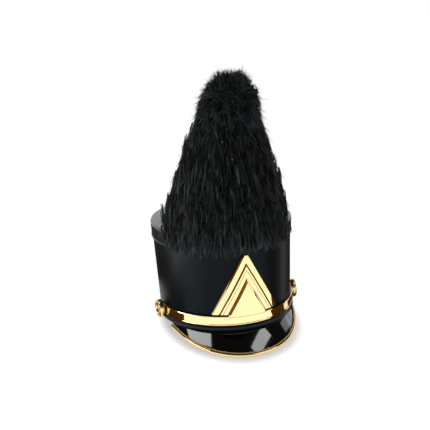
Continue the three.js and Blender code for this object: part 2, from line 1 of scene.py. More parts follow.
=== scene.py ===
"""A parade shako with a tall fur plume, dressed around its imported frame.

Everything is in metres. Pieces are modelled upright, in the hat's own axes with z = 0 at the
bottom of its rim and the front towards -Y, and are then leant back into the frame's axes.
"""

import json
import math
from contextlib import contextmanager

import bmesh
import bpy
import numpy as np
from bpy.props import FloatProperty, FloatVectorProperty, IntProperty, PointerProperty
from mathutils import Matrix, Vector


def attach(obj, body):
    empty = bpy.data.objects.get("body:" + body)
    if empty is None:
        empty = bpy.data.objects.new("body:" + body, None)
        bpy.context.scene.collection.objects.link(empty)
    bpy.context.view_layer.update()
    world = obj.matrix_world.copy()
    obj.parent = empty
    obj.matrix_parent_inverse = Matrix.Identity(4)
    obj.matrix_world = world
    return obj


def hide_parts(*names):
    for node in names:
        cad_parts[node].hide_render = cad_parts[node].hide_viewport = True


bl_info = {
    "name": "Shako",
    "version": (1, 0, 0),
    "blender": (4, 5, 0),
    "location": "3D View > Sidebar > Shako",
    "description": "Dresses a parade shako: crown, bands, peak, metalwork, emblem and plume",
    "category": "Object",
}

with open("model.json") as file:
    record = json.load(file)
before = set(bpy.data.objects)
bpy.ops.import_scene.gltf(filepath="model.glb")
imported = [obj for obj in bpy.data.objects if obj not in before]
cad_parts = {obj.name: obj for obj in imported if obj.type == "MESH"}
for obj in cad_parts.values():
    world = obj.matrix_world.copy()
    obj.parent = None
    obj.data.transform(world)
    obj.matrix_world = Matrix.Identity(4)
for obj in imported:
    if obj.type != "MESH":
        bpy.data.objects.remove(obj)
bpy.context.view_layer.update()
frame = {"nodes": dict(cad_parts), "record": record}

# Crown and lid
CROWN_HEIGHT = 0.129
WALL = 0.0025
LID_THICKNESS = 0.0025
LID_EDGE_DEPTH = 0.0045
LID_SKIRT_DEPTH = 0.002
LID_SKIRT_WALL = 0.002
LID_SKIRT_DRAFT = 0.0008
SHOULDER_RADIUS = 0.0025
LID_MOUNT_BACK = 0.020

# Bands round the crown
TOP_BAND_HEIGHT = 0.021
TOP_BAND_THICKNESS = 0.001
TOP_BAND_BEAD = 0.0019
RIM_HEIGHT = 0.0085
RIM_DEPTH = 0.0037
RIM_FOLD = 0.0012

# Peak and its metal trim
PEAK_END_ANGLE = math.radians(69)
PEAK_REACH = 0.031
PEAK_END_REACH = 0.004
PEAK_DROP = 0.0248
PEAK_END_DROP = 0.0045
PEAK_FULLNESS = 1.6
PEAK_THICKNESS = 0.002
PEAK_BULGE = 0.0006
PEAK_BULGE_FORWARD = 0.0003
TRIM_WALL = 0.0009
TRIM_TOP_ARM = 0.0045
TRIM_UNDER_ARM = 0.0038
TRIM_SEAT_EDGE = 0.0002
TRIM_SEAT = 0.0005
# The trim's upper face: inwards from its groove, from the peak's edge, and from its nose
TRIM_GROOVE = [(0, -0.0007), (0.0003, -0.0006), (0.0005, -0.0001), (0.0008, 0.0001)]
TRIM_LIP = [(-0.0007, 0.0001), (-0.0003, 0)]
TRIM_NOSE = [(-0.00015, 0.00055), (0, 0.00025)]

# Chin band and buttons
BAND_CENTRE = 0.0154
BAND_HEIGHT = 0.012
BAND_DEPTH = 0.0035
BAND_METAL = 0.0009
BAND_RAIL = 0.0015
BAND_DISH_LOW = 0.0007
BAND_DISH_HIGH = 0.0013
BAND_SOFT_EDGE = 0.0002
BAND_DISH_BEVEL = 0.0005
BAND_FOOT_BEVEL = 0.0003
BAND_TOP_BEVEL = 0.0006
BAND_TOP_SHADE = 0.0012
BAND_TAIL = 0.006
BUTTON_ANGLE = math.radians(83.5)
BUTTON_DROP = 0.001
BUTTON_RADIUS = 0.0125
BUTTON_THICKNESS = 0.006
BUTTON_RING = 0.0034
BUTTON_DISH = 0.003
SHANK_RADIUS = 0.0022
SHANK_REACH = 0.003

# Emblem
EMBLEM_HALF_WIDTH = 0.0432
EMBLEM_TOP = 0.1028
EMBLEM_CAP_HALF_WIDTH = 0.0041
EMBLEM_FOOT_RISE = 0.0032
EMBLEM_CENTRE_HALF_WIDTH = 0.0228
EMBLEM_SPARE = 0.028
EMBLEM_GROOVE_FLOOR = 0.0012
EMBLEM_LINE_FLOOR = 0.0035
EMBLEM_FOOT_SHADE = 0.001
EMBLEM_SLICES = np.arange(-0.0425, 0.0435, 0.00085)

# Plume
PLUME_HEIGHT = 0.198
PLUME_HANG = 0.019
PLUME_HALF_WIDTH = 0.0825
PLUME_FRONT_DEPTH = 0.083
PLUME_BACK_DEPTH = 0.056
PLUME_FOOT = Vector((-0.0065, -0.050))
PLUME_TIP = Vector((0.0045, -0.075))
FUR_CLEARANCE = 0.0006
LID_EDGE_ZONE = 0.004
PROBE_STEP = 0.004
BACKING_DEPTH = 0.005
BACKING_SPAN = (-0.6, 0.97)

# Fits, and fineness of the round forms
GAP = 0.0003
LOOSE_GAP = 0.0005
ROUND_STEPS = 176
BAND_STEPS = 176
PEAK_STEPS = 144

# The hat's own axes in the frame, from the mount on the flat underside of its lid
LID_MOUNT = next(m for m in frame["record"]["mounts"] if m["name"] == "lid_inside")
LID_UP = -Vector(LID_MOUNT["axis"])
LEAN = Matrix.Rotation(-math.atan2(LID_UP.y, LID_UP.z), 3, "X")
LID_MARK = Vector((0, LID_MOUNT_BACK, CROWN_HEIGHT - LID_THICKNESS))
SEAT = Vector(LID_MOUNT["pos_m"]) - LEAN @ LID_MARK


def lerp(a, b, share):
    return a + (b - a) * share


def upright(node):
    """A node's corners in the hat's own axes."""
    corners = np.array([v.co for v in frame["nodes"][node].data.vertices])
    return (corners - np.array(SEAT)) @ np.array(LEAN)


def measured_oval(corners, z):
    """Height, half width, half length and forward shift of the outermost ring at a height."""
    ring = corners[np.abs(corners[:, 2] - z) < 5e-4]
    front, back = ring[:, 1].min(), ring[:, 1].max()
    return z, ring[:, 0].max(), (back - front) / 2, -(back + front) / 2


SHELL = upright("crown_shell")
LOW_OVAL = measured_oval(SHELL, SHELL[:, 2].min())
HIGH_OVAL = measured_oval(SHELL, SHELL[:, 2].max())


def oval_at(z):
    """Half width, half length and forward shift of the crown's outer face at a height."""
    share = (z - LOW_OVAL[0]) / (HIGH_OVAL[0] - LOW_OVAL[0])
    return [lerp(low, high, share) for low, high in zip(LOW_OVAL[1:], HIGH_OVAL[1:])]


def crown_normal(angle, z):
    half_width, half_length, _ = oval_at(z)
    return Vector((math.sin(angle) / half_width, -math.cos(angle) / half_length, 0)).normalized()


def crown_point(angle, offset, z):
    """A point at an angle from the front, towards +X, at an offset from the crown's outer face."""
    half_width, half_length, forward = oval_at(z)
    x = half_width * math.sin(angle)
    y = -forward - half_length * math.cos(angle)
    return Vector((x, y, z)) + offset * crown_normal(angle, z)


# Modelling helpers


def deselect():
    if bpy.context.mode != "OBJECT":
        bpy.ops.object.mode_set(mode="OBJECT")
    bpy.ops.object.select_all(action="DESELECT")


def pick(piece):
    deselect()
    piece.select_set(True)
    bpy.context.view_layer.objects.active = piece
    return piece


def named(name):
    """The primitive that was just added, under its own name."""
    piece = bpy.context.active_object
    piece.name = name
    piece.data.name = name
    return piece


@contextmanager
def editing(piece):
    """The piece in edit mode, with all of it selected."""
    pick(piece)
    bpy.ops.object.mode_set(mode="EDIT")
    bpy.ops.mesh.select_all(action="SELECT")
    yield
    bpy.ops.object.mode_set(mode="OBJECT")


def apply_modifier(piece, kind, **settings):
    pick(piece)
    modifier = piece.modifiers.new(kind.title(), kind)
    for key, value in settings.items():
        setattr(modifier, key, value)
    bpy.ops.object.modifier_apply(modifier=modifier.name)


def close_up(piece, merge=1e-6):
    """Merges doubled corners, fills what is still open and turns the faces outwards."""
    with editing(piece):
        bpy.ops.mesh.remove_doubles(threshold=merge)
        bpy.ops.mesh.fill_holes(sides=0)
        bpy.ops.mesh.select_all(action="SELECT")
        bpy.ops.mesh.normals_make_consistent(inside=False)


def ring_body(name, rows, closed=True):
    """A form all round the crown: a circle at the first row of (offset, z), extruded row by row."""
    deselect()
    bpy.ops.mesh.primitive_circle_add(vertices=ROUND_STEPS, radius=1, fill_type="NOTHING")
    piece = named(name)
    width, length, y, level = 1, 1, 0, 0
    with editing(piece):
        for i, (offset, z) in enumerate(rows + rows[:1] if closed else rows):
            if i:
                bpy.ops.mesh.extrude_edges_indiv()
            half_width, half_length, forward = oval_at(z)
            value = ((half_width + offset) / width, (half_length + offset) / length, 1)
            bpy.ops.transform.resize(value=value, center_override=(0, y, level))
            bpy.ops.transform.translate(value=(0, -forward - y, z - level))
            width, length, y, level = half_width + offset, half_length + offset, -forward, z
    close_up(piece)
    return piece


def bent_grid(name, columns, rows, place):
    """A grid whose corners go to place(column, row), then closed along the seams that meet."""
    deselect()
    bpy.ops.mesh.primitive_grid_add(x_subdivisions=columns, y_subdivisions=rows, size=2)
    piece = named(name)
    for corner in piece.data.vertices:
        column = round((corner.co.x + 1) / 2 * columns)
        row = round((corner.co.y + 1) / 2 * rows)
        corner.co = place(column, row)
    return piece


def mark_painted_shade(piece, share_of):
    """Marks painted shade at each corner, 0 to 1, by how deep in a recess it lies, for the finish to be
    darker there.
    """
    mark = piece.data.attributes.new("painted_hollow_shade", "FLOAT", "POINT")
    mark.data.foreach_set("value", [share_of(corner) for corner in piece.data.vertices])


def sweep(name, columns, frame_at, section, painted_shades=None):
    """A closed section carried along a path and capped. frame_at gives origin, along and above."""
    rows = len(section)
    frames = [frame_at(column / columns) for column in range(columns + 1)]

    def place(column, row):
        origin, along, above = frames[column]
        x, y = section[row % rows]
        return origin + along * x + above * y

    piece = bent_grid(name, columns, rows, place)
    if painted_shades:
        shares = painted_shades + painted_shades[:1]
        mark_painted_shade(piece, lambda corner: shares[corner.index // (columns + 1)])
    close_up(piece)
    return piece


def dress(piece, finish, slot, *nodes, smooth=35):
    """Leans the piece into the frame, gives it its finish and lets it stand for its CAD nodes."""
    pick(piece)
    if smooth:
        bpy.ops.object.shade_smooth_by_angle(angle=math.radians(smooth))
    piece.data.transform(Matrix.Translation(SEAT) @ LEAN.to_4x4())
    piece.data.materials.clear()
    piece.data.materials.append(finish)
    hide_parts(*nodes)
    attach(piece, "root")
    return piece


# Materials

COOL_TINT = (0.78, 0.94, 1, 1)
SATIN_DULLNESS = 6


def material(name, build, *settings):
    """The material of this name, built on its first use."""
    made = bpy.data.materials.get(name)
    if not made:
        made = bpy.data.materials.new(name)
        made.use_nodes = True
        build(made.node_tree.nodes["Principled BSDF"], *settings)
    return made


def set_inputs(node, **inputs):
    for name, value in inputs.items():
        node.inputs[name.replace("_", " ")].default_value = value
    return node


def add_node(shader, kind, **inputs):
    return set_inputs(shader.id_data.nodes.new(kind), **inputs)


def link(start, end):
    end.id_data.links.new(start, end)


def object_position(shader):
    return add_node(shader, "ShaderNodeTexCoord").outputs["Object"]


def mapped(shader, **placing):
    """Object coordinates, moved or stretched."""
    node = add_node(shader, "ShaderNodeMapping", **placing)
    link(object_position(shader), node.inputs["Vector"])
    return node.outputs["Vector"]


def own_mark(shader, name):
    """A value that the mesh keeps at its corners."""
    node = add_node(shader, "ShaderNodeAttribute")
    node.attribute_name = name
    return node.outputs["Fac"]


def ranged(shader, value, low, high, **span):
    """A value, 0 to 1 if no span is given, spread over a range."""
    node = add_node(shader, "ShaderNodeMapRange", To_Min=low, To_Max=high, **span)
    link(value, node.inputs["Value"])
    return node.outputs["Result"]


def mixed(shader, share, low, high):
    """A mix of two colours by a 0 to 1 value."""
    node = add_node(shader, "ShaderNodeMixRGB", Color1=(*low, 1), Color2=(*high, 1))
    link(share, node.inputs["Fac"])
    return node.outputs["Color"]


def noise_at(shader, position, scale, detail=2.0):
    node = add_node(shader, "ShaderNodeTexNoise", Scale=scale, Detail=detail)
    link(position, node.inputs["Vector"])
    return node.outputs["Fac"]


def bump(shader, height, distance, strength=1.0, normal=None):
    node = add_node(shader, "ShaderNodeBump", Distance=distance, Strength=strength)
    link(height, node.inputs["Height"])
    if normal:
        link(normal, node.inputs["Normal"])
    link(node.outputs["Normal"], shader.inputs["Normal"])
    return node.outputs["Normal"]


def vinyl(shader, colour, roughness, gloss):
    """Satin vinyl: a fine pebbled grain, softly uneven, with a faint roll to the surface."""
    look = bpy.context.scene.shako_crown
    set_inputs(shader, Base_Color=(*colour, 1), Specular_IOR_Level=gloss, Specular_Tint=COOL_TINT)
    place = object_position(shader)
    cells = add_node(shader, "ShaderNodeTexVoronoi", Scale=1 / look.grain_size)
    link(place, cells.inputs["Vector"])
    uneven = noise_at(shader, place, 60, 4)
    link(ranged(shader, uneven, roughness * 0.85, roughness * 1.15), shader.inputs["Roughness"])
    roll = bump(shader, noise_at(shader, place, 22, 1), 0.0004, 0.5)
    bump(shader, cells.outputs["Distance"], look.grain_depth, 0.35, roll)


def patent(shader):
    """Black patent: a deep gloss coat over smooth hide, with the faintest waviness."""
    look = bpy.context.scene.shako_peak
    set_inputs(shader, Base_Color=(*look.patent_colour, 1))
    set_inputs(shader, Coat_Weight=1, Coat_Roughness=0.015, Coat_IOR=1.52)
    place = object_position(shader)
    link(ranged(shader, noise_at(shader, place, 45, 5), 0.05, 0.12), shader.inputs["Roughness"])
    bump(shader, noise_at(shader, place, 16, 1), 0.0003, 0.25)


def gold(shader, dullness=1):
    """Gold-coloured metal with faint handling marks, deeper in random patches, and painted shade, a warm
    dark brown, in its recesses.
    """
    look = bpy.context.scene.shako_metal
    set_inputs(shader, Metallic=1)
    place = object_position(shader)
    patches = ranged(shader, noise_at(shader, place, 70, 4), 0.25, 1)
    tone = mixed(shader, patches, look.gold_deep, look.gold_bright)
    # painted shade: corners marked as lying in a recess turn towards the dark gold_shadow colour
    shaded = mixed(shader, own_mark(shader, "painted_hollow_shade"), look.gold_deep, look.gold_shadow)
    link(tone, shaded.node.inputs["Color1"])
    link(shaded, shader.inputs["Base Color"])
    rough = look.gold_roughness * dullness
    smudge = noise_at(shader, place, 120, 6)
    link(ranged(shader, smudge, rough * 0.5, rough * 1.6), shader.inputs["Roughness"])
    bump(shader, noise_at(shader, place, 90, 2), 0.0001, 0.06)


def steel(shader):
    """Plain brushed post, hidden in the plume."""
    set_inputs(shader, Base_Color=(0.5, 0.5, 0.52, 1), Metallic=1)
    marks = noise_at(shader, mapped(shader, Scale=(1, 1, 40)), 90, 4)
    link(ranged(shader, marks, 0.3, 0.5), shader.inputs["Roughness"])


def fur(shader):
    """Black fur with a soft silky gloss. Each strand's colour, kept in the mesh, is a random tone that
    carries painted sheen, lighter strands standing for highlights, and painted shade, darker towards the
    root.
    """
    look = bpy.context.scene.shako_fur
    tone = own_mark(shader, "strand_tone_and_painted_light")
    link(mixed(shader, tone, look.fur_dark, look.fur_painted_sheen), shader.inputs["Base Color"])
    set_inputs(shader, Specular_IOR_Level=0.14)
    link(ranged(shader, tone, 0.5, 0.32), shader.inputs["Roughness"])


def backing_fur(shader):
    """The fur's dark backing, mottled so that it reads as underfur where it shows."""
    look = bpy.context.scene.shako_fur
    strands = noise_at(shader, mapped(shader, Scale=(1, 1, 0.15)), 900, 3)
    link(mixed(shader, strands, (0, 0, 0), look.fur_dark), shader.inputs["Base Color"])
    set_inputs(shader, Roughness=0.9)
    bump(shader, strands, 0.001, 0.6)


def crown_vinyl():
    look = bpy.context.scene.shako_crown
    return material("satin_vinyl", vinyl, look.colour, look.roughness, look.gloss)


def lid_vinyl():
    look = bpy.context.scene.shako_crown
    return material("lid_vinyl", vinyl, look.colour, look.lid_roughness, look.lid_gloss)


def trim_vinyl():
    look = bpy.context.scene.shako_crown
    return material("binding_vinyl", vinyl, look.trim_colour, look.trim_roughness, look.gloss * 3)


def polished_gold():
    return material("polished_gold", gold)


# What a user would change


def number(name, description, default, **more):
    return FloatProperty(name=name, description=description, default=default, **more)


def length(name, description, default):
    return number(name, description, default, unit="LENGTH")


def turn(name, description, degrees):
    return number(name, description, math.radians(degrees), subtype="ANGLE")


def tint(name, description, default, **more):
    return FloatVectorProperty(name=name, description=description, subtype="COLOR", default=default, **more)


class ShakoCrownSettings(bpy.types.PropertyGroup):
    colour: tint("Crown colour", "Colour of the crown's vinyl", (0.0022, 0.0036, 0.0050))
    roughness: number("Crown roughness", "How satin the crown is", 0.36)
    gloss: number("Crown gloss", "How strongly the vinyl reflects", 0.09)
    lid_roughness: number("Lid roughness", "How satin the lid and the top band are", 0.22)
    lid_gloss: number("Lid gloss", "How strongly the lid and the top band reflect", 0.8)
    trim_colour: tint("Binding colour", "Colour of the bottom binding's vinyl", (0.0022, 0.0034, 0.0046))
    trim_roughness: number("Binding roughness", "How satin the binding is", 0.33)
    grain_size: length("Grain size", "Width of one pebble of the grain", 0.0007)
    grain_depth: length("Grain depth", "Depth of the grain", 0.00006)


class ShakoMetalSettings(bpy.types.PropertyGroup):
    gold_bright: tint("Gold", "Colour of the polished metal", (0.97, 0.77, 0.43))
    gold_deep: tint("Deep gold", "Its colour where it is a little tarnished", (0.92, 0.67, 0.3))
    # painted shade: the colour the gold is painted deep in a recess
    gold_shadow: tint("Gold in hollows", "Its colour deep in a hollow", (0.09, 0.04, 0.006))
    gold_roughness: number("Gold roughness", "How dull the metal is", 0.045)
    bead_pitch: length("Bead pitch", "Distance between the beads of the peak's trim", 0.0023)
    bead_radius: length("Bead radius", "Radius of one bead of the trim", 0.00085)


class ShakoPeakSettings(bpy.types.PropertyGroup):
    patent_colour: tint("Patent colour", "Colour under the peak's gloss", (0.002, 0.002, 0.0025))


class ShakoFurSettings(bpy.types.PropertyGroup):
    locks: IntProperty(name="Locks", description="Locks that the fur gathers into", default=8200)
    strands_each: IntProperty(name="Strands", description="Strands in each lock", default=5)
    lock_width: length("Lock width", "Width of a lock at its root", 0.0034)
    length_share: number("Fur length", "Length of the hair, 1 as it is here", 1)
    loose_share: number("Loose hair", "Share of the strands that stray", 0.13)
    thickness: length("Strand thickness", "Width of a strand at its thickest", 0.00095)
    fur_dark: tint("Dark fur", "Colour of the darkest strands", (0.0004, 0.0006, 0.0008))
    # painted sheen: the lightest strands stand for the highlights on the black fur
    fur_painted_sheen: tint("Light fur", "Colour of the lightest strands", (0.16, 0.19, 0.205))
    seed: IntProperty(name="Seed", description="Which of many alike coats of fur", default=7)


class ShakoStageSettings(bpy.types.PropertyGroup):
    azimuth: turn("Camera azimuth", "How far round from the front the camera stands", -15.13)
    elevation: turn("Camera elevation", "How high the camera stands", 20.75)
    roll: turn("Camera roll", "Turn of the camera about its view", 2.094)
    distance: length("Camera distance", "From the aim", 1.2816)
    lens: number("Lens", "Focal length on a 36 mm sensor", 80.06)
    wall_light: tint("Wall light", "Colour of the studio's walls", (1.0, 1.04, 1.08), soft_max=2)
    ceiling_light: tint("Ceiling light", "Colour of its ceiling", (0.03, 0.026, 0.022))
    front_card: number("Front card", "Brightness of the card in front", 1.35)
    soft_box_light: number("Soft boxes", "Brightness of the soft boxes", 4.7)
    dark_card: tint("Dark cards", "Colour of the cards that darken the metal", (0.05, 0.022, 0.003))
    floor_glow: number("Floor glow", "Light of its own that the floor gives", 0.92)
    contact_shade: number("Contact shade", "Share of the glow left beside the hat", 0.5)


# Crown and bands


class SHAKO_OT_crown(bpy.types.Operator):
    """Model the crown's wall and its lid."""

    bl_idname = "shako.crown"
    bl_label = "Crown"

    def execute(self, context):
        lid_underside = CROWN_HEIGHT - LID_EDGE_DEPTH
        low, high = RIM_FOLD + GAP, lid_underside - GAP
        wall = ring_body("crown_wall", [(0, low), (0, high), (-WALL, high), (-WALL, low)])
        dress(wall, crown_vinyl(), "crown_vinyl", "crown_shell")

        edge = GAP + TOP_BAND_THICKNESS
        turns = 8
        rows = []
        for i in range(turns + 1):
            turn = (1 - i / turns) * math.pi / 2
            inwards = SHOULDER_RADIUS * (1 - math.cos(turn))
            down = SHOULDER_RADIUS * (1 - math.sin(turn))
            rows.append((edge - inwards, CROWN_HEIGHT - down))
        skirt = -WALL - GAP
        skirt_end = lid_underside - LID_SKIRT_DEPTH
        rows += [
            (edge, lid_underside),
            (skirt, lid_underside),
            (skirt, skirt_end),
            (skirt - LID_SKIRT_WALL + LID_SKIRT_DRAFT, skirt_end),
            (skirt - LID_SKIRT_WALL, CROWN_HEIGHT - LID_THICKNESS),
        ]
        lid = ring_body("crown_lid", rows, closed=False)
        dress(lid, lid_vinyl(), "crown_vinyl", "crown_top")
        return {"FINISHED"}


class SHAKO_OT_bands(bpy.types.Operator):
    """Model the band under the lid and the rolled binding of the bottom edge."""

    bl_idname = "shako.bands"
    bl_label = "Top band and rim"

    def execute(self, context):
        bottom = CROWN_HEIGHT - TOP_BAND_HEIGHT
        face = GAP + TOP_BAND_THICKNESS
        bead = TOP_BAND_BEAD - TOP_BAND_THICKNESS
        rows = [(GAP, bottom)]
        turns = 8
        for i in range(turns + 1):
            turn = (i / turns - 0.5) * math.pi
            rows.append((face + bead * math.cos(turn), bottom + bead * (1 + math.sin(turn))))
        top = CROWN_HEIGHT - LID_EDGE_DEPTH - GAP
        rows += [(face, top), (GAP, top)]
        dress(ring_body("top_binding", rows), lid_vinyl(), "trim_vinyl", "top_band")

        half = RIM_HEIGHT / 2
        rows = []
        turns = 16
        for i in range(turns + 1):
            turn = (i / turns - 0.5) * math.pi
            rows.append((GAP + RIM_DEPTH * math.cos(turn), half + half * math.sin(turn)))
        rows += [(GAP, RIM_FOLD), (-WALL, RIM_FOLD), (-WALL, 0)]
        dress(ring_body("rim_roll", rows), trim_vinyl(), "trim_vinyl", "rim_band")
        return {"FINISHED"}


# Peak and trim


def peak_line(angle, t):
    """Offset and z of the peak's middle sheet: t runs from the rim to the free edge."""
    share = max(math.cos(math.pi / 2 * angle / PEAK_END_ANGLE), 0)
    reach = lerp(PEAK_END_REACH, PEAK_REACH, share**PEAK_FULLNESS)
    edge = crown_point(angle, reach, 0).y
    end_edge = crown_point(PEAK_END_ANGLE, PEAK_END_REACH, 0).y
    front_edge = crown_point(0, PEAK_REACH, 0).y
    forward = (edge - end_edge) / (front_edge - end_edge)
    drop = lerp(PEAK_END_DROP, PEAK_DROP, forward)
    level = -GAP - PEAK_THICKNESS / 2
    if t < 0:
        return lerp(LOOSE_GAP, -WALL, -t), level
    swell = 4 * t * (1 - t) * forward
    offset = lerp(LOOSE_GAP, reach, t) + PEAK_BULGE_FORWARD * swell
    return offset, lerp(level, -drop, t) + PEAK_BULGE * swell


def peak_angle(share):
    return lerp(-PEAK_END_ANGLE, PEAK_END_ANGLE, share)


def peak_edge_frame(share):
    """The free edge's middle point, the direction out of the sheet there, and its upper side."""
    angle = peak_angle(share)
    end = crown_point(angle, *peak_line(angle, 1))
    before = crown_point(angle, *peak_line(angle, 2 / 3))
    out = (end - before).normalized()
    step = 1e-3
    ahead = peak_angle(share + step)
    along = (crown_point(ahead, *peak_line(ahead, 1)) - end).normalized()
    above = out.cross(along).normalized()
    return end, out, above if above.z > 0 else -above


class SHAKO_OT_peak(bpy.types.Operator):
    """Model the peak: a curved sheet under the rim."""

    bl_idname = "shako.peak"
    bl_label = "Peak"

    def execute(self, context):
        rows = 18
        flange_rows = 2

        def place(column, row):
            angle = peak_angle(column / PEAK_STEPS)
            t = (row - flange_rows) / (rows - flange_rows) if row > flange_rows else row / flange_rows - 1
            return crown_point(angle, *peak_line(angle, t))

        sheet = bent_grid("peak_sheet", PEAK_STEPS, rows, place)
        apply_modifier(sheet, "SOLIDIFY", thickness=PEAK_THICKNESS, offset=0, use_even_offset=True)
        close_up(sheet)
        dress(sheet, material("patent_gloss", patent), "patent", "peak")
        return {"FINISHED"}


class SHAKO_OT_peak_edge(bpy.types.Operator):
    """Model the peak's metal trim: a folded channel with a row of beads along its inner edge."""

    bl_idname = "shako.peak_edge"
    bl_label = "Peak trim"

    def execute(self, context):
        look = context.scene.shako_metal
        slot = PEAK_THICKNESS / 2 + GAP
        outer = slot + TRIM_WALL
        nose = GAP + TRIM_WALL - outer
        bead_middle = -TRIM_TOP_ARM + look.bead_radius
        groove = -TRIM_TOP_ARM + 2.3 * look.bead_radius
        section = [(-TRIM_TOP_ARM, slot), (-TRIM_TOP_ARM, outer - TRIM_SEAT_EDGE)]
        section += [(bead_middle, outer - TRIM_SEAT)]
        section += [(groove + x, outer + z) for x, z in TRIM_GROOVE]
        section += [(x, outer + z) for x, z in TRIM_LIP]
        # painted shade in the groove between the beads and the lip
        painted_shades = [0, 0, 1, 1, 1, 0]
        tip = nose + outer
        section += [(tip + x, z) for x, z in TRIM_NOSE]
        turns = 10
        for i in range(turns + 1):
            turn = -math.pi / 2 * i / turns
            section.append((nose + outer * math.cos(turn), outer * math.sin(turn)))
        section += [(-TRIM_UNDER_ARM, -outer), (-TRIM_UNDER_ARM, -slot), (GAP, -slot), (GAP, slot)]
        painted_shades += [0] * (len(section) - len(painted_shades))
        channel = sweep("peak_edge_channel", 240, peak_edge_frame, section, painted_shades)
        dress(channel, polished_gold(), "gold_metal", "peak_edge", smooth=40)

        deselect()
        bpy.ops.mesh.primitive_uv_sphere_add(segments=12, ring_count=8, radius=look.bead_radius)
        bead = named("peak_edge_beads")
        samples = 900
        places = []
        for i in range(samples + 1):
            origin, out, above = peak_edge_frame(i / samples)
            places.append(origin + out * bead_middle + above * outer)
        travelled = np.cumsum([0] + [(b - a).length for a, b in zip(places, places[1:])])
        count = int(travelled[-1] / look.bead_pitch)
        marks = np.linspace(look.bead_radius, travelled[-1] - look.bead_radius, count)
        spots = np.stack([np.interp(marks, travelled, [p[k] for p in places]) for k in range(3)], -1)
        repeat(bead, [Matrix.Translation(spot) for spot in spots.tolist()])
        dress(bead, polished_gold(), "gold_metal", "peak_edge", smooth=60)
        return {"FINISHED"}


def repeat(piece, matrices):
    """Turns one modelled shape into a joined mesh of its copies."""
    source = piece.data
    joined = bmesh.new()
    for matrix in matrices:
        copy = source.copy()
        copy.transform(matrix)
        joined.from_mesh(copy)
        bpy.data.meshes.remove(copy)
    joined.to_mesh(source)
    joined.free()


# Chin band and buttons


class SHAKO_OT_chin_band(bpy.types.Operator):
    """Model the metal chin band: a channel with two raised rails and a dished face."""

    bl_idname = "shako.chin_band"
    bl_label = "Chin band"

    def execute(self, context):
        half = BAND_HEIGHT / 2
        face = GAP + BAND_DEPTH
        rail, soft = BAND_RAIL, BAND_SOFT_EDGE
        dish_low, dish_high = face - BAND_DISH_LOW, face - BAND_DISH_HIGH
        section = [
            (GAP, -half),
            (face - BAND_FOOT_BEVEL, -half),
            (face, -half + soft),
            (face - soft, -half + rail - soft),
            (dish_low, -half + rail),
            (dish_low, -half + rail + BAND_DISH_BEVEL),
            (dish_high, half - rail - BAND_DISH_BEVEL),
            (dish_high, half - rail),
            (face, half - rail + soft),
            (face - soft, half - soft),
            (face - BAND_TOP_BEVEL, half),
            (face - BAND_TOP_SHADE, half),
            (GAP, half),
            (GAP, half - BAND_METAL),
            (dish_high - BAND_METAL, half - BAND_METAL),
            (dish_low - BAND_METAL, -half + BAND_METAL),
            (GAP, -half + BAND_METAL),
        ]
        # painted shade: in the dish's corners under the rails, and on the band's top and back towards the
        # crown
        painted_shades = [0, 0, 0, 0, 0.8, 0, 0, 0.8, 0, 0, 0, 1, 1, 1, 1, 1, 1]
        _, half_length, _ = oval_at(BAND_CENTRE)
        end = BUTTON_ANGLE + BAND_TAIL / half_length

        def frame_at(share):
            angle = lerp(-end, end, share)
            normal = crown_normal(angle, BAND_CENTRE)
            return crown_point(angle, 0, BAND_CENTRE), normal, Vector((0, 0, 1))

        band = sweep("chin_band_channel", BAND_STEPS, frame_at, section, painted_shades)
        dress(band, polished_gold(), "gold_metal", "chin_band", smooth=20)
        return {"FINISHED"}


# The button's outline from its back to its crest, in shares of its radius and thickness
RING_OUTLINE = [
    (0.90, 0.0),
    (0.96, 0.1),
    (1.0, 0.35),
    (1.0, 0.6),
    (0.975, 0.82),
    (0.93, 0.95),
    (0.88, 1.0),
    (0.82, 0.97),
]
# The dish inside it, in shares of the dish's radius and depth
DISH_OUTLINE = [
    (1.0, 0.4),
    (0.97, 0.9),
    (0.9, 1.0),
    (0.82, 0.95),
    (0.6, 0.72),
    (0.4, 0.6),
    (0.2, 0.53),
    (0.05, 0.5),
]


